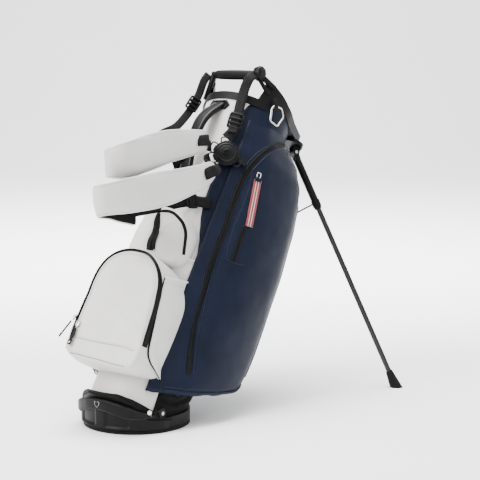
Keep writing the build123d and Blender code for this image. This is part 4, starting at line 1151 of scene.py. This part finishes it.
ladder("near_ladder", P(-113.5, -66, 712), P(-111.5, -68, 676), D(-0.85, -0.5, 0), 0.031,
       replaces=("strap_buckles",))
strap("near_webbing_tail", [P(-116, -66, 716), P(-117, -67, 704), P(-115, -69, 678), P(-114, -71, 662)],
      D(-0.85, -0.5, 0), 0.0235, 0.0022, n=20)
ladder("far_ladder", P(-113, 79, 752), P(-121, 79, 718), Vector((-0.6, -0.75, 0.3)), 0.026)
strap("lower_webbing", [Vector((0.010, 0.013, 0.490)), P(-170, 0, 425), P(-140, -16, 452), P(-119, -34, 470),
                        P(-108, -44, 476)],
      [D(-0.6, -0.8, 0)] * 5, 0.026, 0.0026, n=30, replaces=("lower_strap",))
ladder("lower_ladder", P(-131, -34, 462), P(-117, -46, 470), D(-0.8, -0.6, 0), 0.031)
strap("lower_anchor", [P(-118, -46, 470), P(-104, -58, 476), P(-92, -70, 480)],
      [D(-0.9, -0.4, 0), D(-0.87, -0.49, 0), D(-0.8, -0.6, 0)], 0.028, 0.003, n=16)

# ---------------------------------------------------------------- spine handle, badge plate, grip, knob
spine = [P(-108, 0, 743), P(-123, 2, 722), P(-138, 4, 700), P(-149, 5, 672), P(-152, 5, 640), P(-149, 6, 600),
         P(-136, 6, 552), P(-119, 5, 515), P(-114, 4, 496)]
rings = []
sp = spline(spine, 60)
for i, (p, t, side, up) in enumerate(frames(sp, D(-1, 0, 0.4))):
    wd = 0.0170 * (1 - 0.15 * math.cos(math.pi * min(i, 59 - i) / 30) ** 4)
    th = 0.0074
    ring = []
    for k in range(20):
        q = 2 * math.pi * k / 20
        x, y = math.cos(q), math.sin(q)
        ring.append(p + side * (power(x, 0.6) * wd) + up * (power(y, 0.8) * th))
    rings.append(ring)
verts, faces = rings_mesh(rings)
make("spine_handle_soft", verts, faces, BLACK, replaces=("spine_handle",))
for k, nm in ((3, "a"), (7, "b"), (17, "c"), (13, "d")):
    rope("spine_piping_" + nm, [ring[k] for ring in rings[1:-1]], 0.0012, GREY_PIPE, n=90)

plate = []
for v, w in ((32, 737), (27, 751), (-18, 752), (-28, 741), (-20, 727), (25, 728)):
    a = math.asin(v / 113.2)
    plate.append(P(-113.2 * math.cos(a), 113.2 * math.sin(a), w))
hexa = []
for i in range(6):
    a, b = plate[i], plate[(i + 1) % 6]
    for k in range(5):
        q = a.lerp(b, k / 5)
        hexa.append(q)
rows = []
ctr = sum(hexa, Vector()) / len(hexa)
for lift, f in ((0.0, 1.0), (0.0028, 1.0), (0.0040, 0.96), (0.0040, 0.80), (0.0034, 0.76), (0.0034, 0.0001)):
    ring = []
    for q in hexa:
        x = ctr + (q - ctr) * f
        ring.append(x + D(-1, 0, 0) * lift)
    rows.append(ring)
verts, faces = rings_mesh(rows)
make("badge_plate", verts, faces, GLOSS, replaces=("collar_badge",))
BAR_U, BAR_W = -97, 835
grip = []
for i in range(41):
    f = i / 40
    v = -62 + 122 * f
    r = 0.0108 + 0.0012 * math.sin(math.pi * f) - 0.0012 * (abs(2 * f - 1) ** 12)
    c = P(BAR_U, v, BAR_W)
    ring = []
    for k in range(24):
        q = 2 * math.pi * k / 24
        rr = r * (1 + 0.10 * max(0, -math.sin(q)) ** 6)
        ring.append(c + D(1, 0, 0) * math.cos(q) * rr + D(0, 0, 1) * math.sin(q) * rr)
    grip.append(ring)
verts, faces = rings_mesh(grip)
make("grip_soft", verts, faces, BLACK, replaces=("grip_wrap",))
rope("grip_seam", [P(BAR_U - 5, v, BAR_W - 10.4) for v in range(-58, 60, 12)], 0.0011, BLACK)
path = spline([P(BAR_U - 7.6, v, BAR_W - 8.4) for v in range(-58, 60, 12)], 90)
stitches("grip_stitch", path, D(-0.7, 0, -0.7), THREAD_K)

knob = []
kc = P(BAR_U - 4, -72, BAR_W + 2)
ax = D(0, 1, 0)
for v, r in ((-13, 9), (-12, 14), (-9, 17), (-3, 18.5), (4, 18), (9, 15.5), (11.5, 12), (12, 8)):
    ring = []
    for k in range(8):
        q = 2 * math.pi * (k + 0.5) / 8
        ring.append(kc + ax * (v / 1000) + (D(1, 0, 0) * math.cos(q) + D(0, 0, 1) * math.sin(q) * 1.05)
                    * (r / 1000))
    knob.append(ring)
verts, faces = rings_mesh(knob)
kn = make("strap_knob_soft", verts, faces, BLACK_PLASTIC, replaces=("strap_knob",), smooth=False)
bv = kn.modifiers.new("bevel", "BEVEL")
bv.width, bv.segments = 0.0012, 2

# ---------------------------------------------------------------- carabiner and its webbing
clip_n = D(-0.3, -0.954, 0)
clip_up = Vector((0, 0, 1))
clip_up = (clip_up - clip_n * clip_up.dot(clip_n)).normalized()
clip_x = clip_up.cross(clip_n).normalized()
cc = P(-36, -116, 757) + clip_n * 0.002
shape = [(28, 2), (20, 14), (-12, 24), (-28, 2), (-4, -23), (18, -20)]
loop = [cc + (clip_up * x - clip_x * y) * 0.00092 for x, y in shape]
poly = []
for i, p in enumerate(loop):
    q = loop[(i + 1) % len(loop)]
    poly += [p.lerp(q, 0.13), p.lerp(q, 0.5), p.lerp(q, 0.87)]
rope("clip_body", poly, 0.0021, SILVER, "clip", closed=True, n=90, replaces=("carabiner",))
rope("clip_gate",
     [cc + clip_up * (a / 1000) - clip_x * (b / 1000) for a, b in ((14, 12.5), (2, 16.2), (-8, 19.2))],
     0.0017, STEEL, "clip", n=12)
strap("clip_webbing", [cc + clip_up * 0.042 - clip_n * 0.003, cc + clip_up * 0.030 - clip_n * 0.0038,
                       cc + clip_up * 0.0195 - clip_n * 0.001, cc + clip_up * 0.0195 + clip_n * 0.0015,
                       cc + clip_up * 0.030 + clip_n * 0.0035, cc + clip_up * 0.043 + clip_n * 0.0028],
      [-clip_n, -clip_n, -clip_up, -clip_up, clip_n, clip_n], 0.0125, 0.0016, n=40,
      replaces=("carabiner_strap",))

strap("collar_tag", [T(25, 757, 113.9), T(25, 748, 114.1), T(25, 739, 113.6)],
      facing(25), 0.0125, 0.0012, RIBBON, n=8)

# ---------------------------------------------------------------- small pocket, ribbon, tags and pullers
np_ = pocket["near"]
zipper("small_zip", np_, [P(-26, -135, 457), P(-26, -135, 426), P(-25, -136, 395), P(-24, -137, 364)], 0.013,
       n=30, replaces=("valuables_zipper",))
np_.sew("small_pocket_stitch", [P(-52, -114, 624), P(-44, -121, 560), P(-42, -122, 500), P(-44, -121, 440),
                                P(-38, -125, 372),
                         P(-28, -133, 362), P(-5, -148, 366)], 240, 0.0003, THREAD_N)
np_.bead("small_pocket_seam", [P(-58, -110, 366), P(-38, -125, 362), P(-12, -143, 366), P(0, -150, 372)], 60,
         0.0002, 0.0012, PIPE_NAVY)

rb_top = P(-37, -129, 598)
rb_n = D(-0.6, -0.8, 0)
rb_down = Vector((-0.456, -0.099, -0.93))
rb_down = (rb_down - rb_n * rb_down.dot(rb_n)).normalized()


def rb(s, lift=0.0015):
    return rb_top + rb_down * s + rb_n * (lift + 0.0035)


strap("ribbon_soft", [rb(0.020, 0.0015), rb(0.05, 0.0022), rb(0.09, 0.0030), rb(0.125, 0.0028),
                      rb(0.137, 0.0024), rb(0.1385, 0.0010), rb(0.125, 0.0004), rb(0.09, 0.0006),
                      rb(0.05, 0.0004), rb(0.020, 0.0003)],
      [rb_n, rb_n, rb_n, rb_n, (rb_n + rb_down).normalized(), rb_down, -rb_n, -rb_n, -rb_n, -rb_n],
      0.0185, 0.0009, RIBBON, "ribbon", n=90, replaces=("valuables_pull",))
strap("ribbon_collar", [rb(0.014, 0.002), rb(0.024, 0.0024)], rb_n, 0.0155, 0.0042, NAVY, "ribbon", n=6)
rb_x = rb_n.cross(rb_down).normalized()
ring_link("ribbon_ring", rb(0.0085, 0.002), rb_down, rb_x, 0.0065, 0.0045, 0.0011, SILVER, "ribbon")

tg = [T(phi, 322, 115.5) for phi in (41.5, 44, 46.5, 49)]
strap("tag_soft", tg, [facing(p) for p in (41.5, 44, 46.5, 49)],
      0.0085, 0.0012, RIBBON, n=10, replaces=("woven_tag",))


def pull_tab(name, top, down, normal, length, width, body, replaces, bend=0.0, material=BLACK):
    """Moulded pull with an eye at its end, hung from a metal slider."""
    side = down.cross(normal).normalized()
    n = 26
    rings = []
    for i in range(n + 1):
        f = i / n
        s = f * length
        if f < 0.7:
            swell = 0.55 + 0.45 * math.sin(math.pi * min(f * 1.25 + 0.12, 1))
        else:
            swell = 0.62 + 0.38 * math.sin(math.pi * (f - 0.55) / 0.45)
        wd = width / 2 * swell
        th = 0.0017 * (1 if f < 0.97 else 0.5)
        if f > 0.98:
            wd *= 0.55
        c = top + down * s + normal * (0.0017 + bend * math.sin(math.pi * f))
        rings.append([c + side * (power(math.cos(q), 0.7) * wd) + normal * (math.sin(q) * th)
                      for q in (2 * math.pi * k / 14 for k in range(14))])
    verts, faces = rings_mesh(rings)
    o = make(name, verts, faces, material, body, replaces)
    eye = top + down * (length * 0.86) + normal * 0.0036
    lathe(name + "_eye", [(0.0016, 0), (0.0026, 0), (0.0030, 0.0006), (0.0024, 0.0011), (0.0017, 0.0009),
                          (0.0015, 0)],
          eye - normal * 0.0004, normal, side, SILVER, body, 18)
    return o


def slider(name, at, down, normal, body="bag"):
    """Zip slider body and its bridge."""
    side = down.cross(normal).normalized()
    out = [at + down * a + side * b for a, b in ((-0.008, -0.0035), (-0.004, -0.0055), (0.006, -0.0045),
                                                 (0.008, -0.002), (0.008, 0.002), (0.006, 0.0045),
                                                 (-0.004, 0.0055), (-0.008, 0.0035))]
    slab(name, out, 0.0032, normal, SILVER, body)
    rope(name + "_bridge", [at + normal * 0.003 - down * 0.005, at + normal * 0.0060,
                            at + normal * 0.003 + down * 0.004],
         0.0011, SILVER, body, n=8)


DOWN = Vector((0, 0, -1))
BALL_TABS = [("left", P(-202.5, 99.5, 100), Vector((-0.506, 0.39, -0.768)), D(-0.6, 0.75, 0.3), 0.046),
             ("right", P(-205, 78, 84), Vector((-0.5505, 0, -0.8348)), D(-1, 0, 0), 0.042)]
for tag, at, dn, nrm, length in BALL_TABS:
    nrm = (nrm - dn * nrm.dot(dn)).normalized()
    pull_tab("ball_tab_" + tag, at, dn, nrm, length, 0.0130, "ball_pull_" + tag[0], ("ball_puller_" + tag,))
    slider("ball_slider_" + tag, at - dn * 0.0115 - nrm * 0.002, dn, nrm)
for sign, tag in ((1, "near"), (-1, "far")):
    nrm = D(0.12, -0.95 * sign, 0.29)
    dn = (DOWN - nrm * DOWN.dot(nrm)).normalized()
    pull_tab("side_tab_" + tag, P(33, -125.5 * sign, 696) + dn * 0.004 + nrm * 0.003, dn, nrm, 0.046, 0.010,
             "zip_pull_" + tag, ("apparel_puller_" + tag,))
    slider("side_slider_" + tag, P(30, -119 * sign, 704), D(0.35, 0, -0.9), nrm)

# ---------------------------------------------------------------- base: rim, hand-hold, badge
def rim(az):
    """Height of the shoe's rim at az degrees from the front, metres."""
    x = -124 * math.cos(math.radians(az))
    return max(34.0, min(93.0, 98 - 0.81 * (x + 122))) / 1000


def around(az, r, z):
    a = math.radians(az)
    return Vector((-r * math.cos(a), -r * math.sin(a), z))


BAND_TOP = [(0, 80), (10, 79), (22, 74), (32, 67), (46, 54), (56, 47), (62, 44)]
BAND_LOW = [(0, 55), (10, 52), (22, 43), (32, 36), (42, 36), (50, 38), (56, 40), (62, 41)]
for drop, r, nm in ((0.0015, 0.1243, "a"), (0.0075, 0.1247, "b")):
    rope("rim_bead_" + nm, [around(az, r, rim(az) - drop) for az in range(-80, 81, 4)], 0.0017, BLACK_PLASTIC,
         "base")
rings = []
for i in range(73):
    az = -60 + 120 * i / 72
    lo, hi = interp(BAND_LOW, abs(az)) / 1000, interp(BAND_TOP, abs(az)) / 1000
    lift = 0.0075 * (1 - (abs(az) / 61) ** 6) + 0.0032
    mid = (lo + hi) / 2
    ring = []
    for k in range(20):
        q = 2 * math.pi * k / 20
        x, y = math.cos(q), math.sin(q)
        z = mid + (hi - lo) / 2 * power(x, 0.45)
        p = around(az, 0.124 + lift + 0.0026 * power(y, 0.7), z)
        ring.append(p + around(az, 1, 0) * ripple(p, 0.0008, 40.0, 2.0))
    rings.append(ring)
verts, faces = rings_mesh(rings)
make("base_handle_soft", verts, faces, BLACK, "base", ("base_handle",))
for f, nm in ((0.12, "low"), (0.88, "top")):
    path, normals = [], []
    for i in range(240):
        az = -57 + 114 * i / 239
        lo, hi = interp(BAND_LOW, abs(az)) / 1000, interp(BAND_TOP, abs(az)) / 1000
        lift = 0.0075 * (1 - (abs(az) / 61) ** 6) + 0.0032
        path.append(around(az, 0.1266 + lift, lo + (hi - lo) * f))
        normals.append(around(az, 1, 0))
    stitches("base_handle_stitch_" + nm, path, normals, THREAD_K, "base")
for az in (-54, 54):
    for r_, w_, nm in ((0.0046, 0.0, "a"), (0.0030, 0.0016, "b")):
        lathe("base_rivet_%s_%s" % ("near" if az > 0 else "far", nm),
              [(0, w_), (r_, w_), (r_ * 0.9, w_ + 0.0014), (0, w_ + 0.0017)], around(az, 0.1300, 0.0445),
              around(az, 1, 0), Vector((0, 0, 1)), SILVER, "base", 20)
shield = [(-0.0085, 0.0078), (-0.003, 0.0066), (0, 0.0080), (0.003, 0.0066), (0.0085, 0.0078), (0.0080, 0),
          (0.0052, -0.0052), (0, -0.0088), (-0.0052, -0.0052), (-0.0080, 0)]
shield = [around(0, 0.1352, 0.0675) + Vector((0, y, z)) for y, z in shield]
slab("base_shield", shield, 0.0018, Vector((-1, 0, 0)), SILVER, "base", ("base_badge",))
inner = [p.lerp(around(0, 0.1352, 0.0675), 0.22) + Vector((-0.0019, 0, 0)) for p in shield]
rope("base_shield_line", inner, 0.0004, STEEL, "base", closed=True, n=60)

# front wall of the shoe, with two finger recesses and the rib between them
rows = []
for i in range(181):
    az = -78 + 156 * i / 180
    fade = min(1, (78 - abs(az)) / 8)
    top_z = interp([(0, 0.058), (22, 0.052), (40, 0.046), (60, 0.032), (78, 0.028)], abs(az))
    row = []
    for k in range(27):
        f = k / 26
        z = 0.009 + (top_z - 0.009) * f
        side_in = min(max((abs(az) - 4.5) / 4.5, 0), 1) * min(max((37 - abs(az)) / 6, 0), 1)
        low_in = min(max((z - 0.0125) / 0.006, 0), 1)
        hollow = side_in * low_in
        hollow = hollow * hollow * (3 - 2 * hollow)
        lip = 1 if 0 < k < 26 else 0
        row.append(around(az, 0.1243 + 0.0046 * fade * lip * (1 - 0.92 * hollow), z))
    rows.append(row)
verts, faces = rings_mesh(rows, closed=False)
make("hold_wall", verts, faces, BLACK_PLASTIC, "base")
rope("sole_line", [around(az, 0.1242, 0.0105) for az in range(-92, 93, 4)], 0.0011, RUBBER, "base")

# ---------------------------------------------------------------- fabric gusset, open behind for the rod
rings = []
for i in range(17):
    f = i / 16
    ring = []
    for j in range(119):
        phi = (193 + 334 * j / 118) % 360
        w_top = max(w_low(phi), 26) + 5 if 62 < phi < 298 else w_low(phi) + 5
        top = T(phi, w_top, 108.2)
        low = around(phi, 0.1165, 0.024)
        p = top.lerp(low, f)
        out = Vector((p.x, p.y, 0)).normalized()
        fold = math.sin(f * math.pi * 5 + 0.9 * math.sin(math.radians(phi) * 3)) * 0.0024
        crease = ripple((phi / 20, f * 3, 2.0), 0.0022, 1.0, 5.0)
        ring.append(p + out * ((fold + crease + 0.003) * math.sin(math.pi * f)))
    rings.append(ring)
verts, faces = rings_mesh(rings, False, False, closed=False)
gusset = make("gusset_soft", verts, faces, GUSSET, None, ("base_gusset",))
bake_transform(gusset)

# ---------------------------------------------------------------- hip pad
def soft_copy(node, name, material, cap, voxel):
    """A padded copy of a node's solid."""
    source = frame["nodes"][node]
    me = source.data.copy()
    me.transform(source.matrix_world)
    me.materials.clear()
    me.materials.append(material)
    obj = bpy.data.objects.new(name, me)
    bpy.context.scene.collection.objects.link(obj)
    puff(obj, 4.0, cap, voxel)
    return place(obj, "bag", (node,))


hip = soft_copy("hip_pad", "hip_soft", MESH, 0.004, 0.004)

# ---------------------------------------------------------------- rigid parts shown as built
set_material(("base_shoe", "bottom_cup", "divider_frame", "front_handle", "rod_guide"), BLACK_PLASTIC)
set_material(("leg_bracket", "leg_sleeve_near", "leg_sleeve_far"), BLACK_PLASTIC)
set_material(("top_collar",), BLACK)
set_material(("base_sole", "leg_foot_near", "leg_foot_far"), RUBBER)
set_material(("leg_tube_near", "leg_tube_far", "link_near", "link_far", "actuator_rod"), BLACK_METAL)
set_material(("leg_pivot_pins", "base_pivot_pins"), STEEL)
set_material(("base_studs",), SILVER)
set_material(("divider_sleeves", "inner_liner"), LINING)
set_material(("shell_stays",), WHITE)
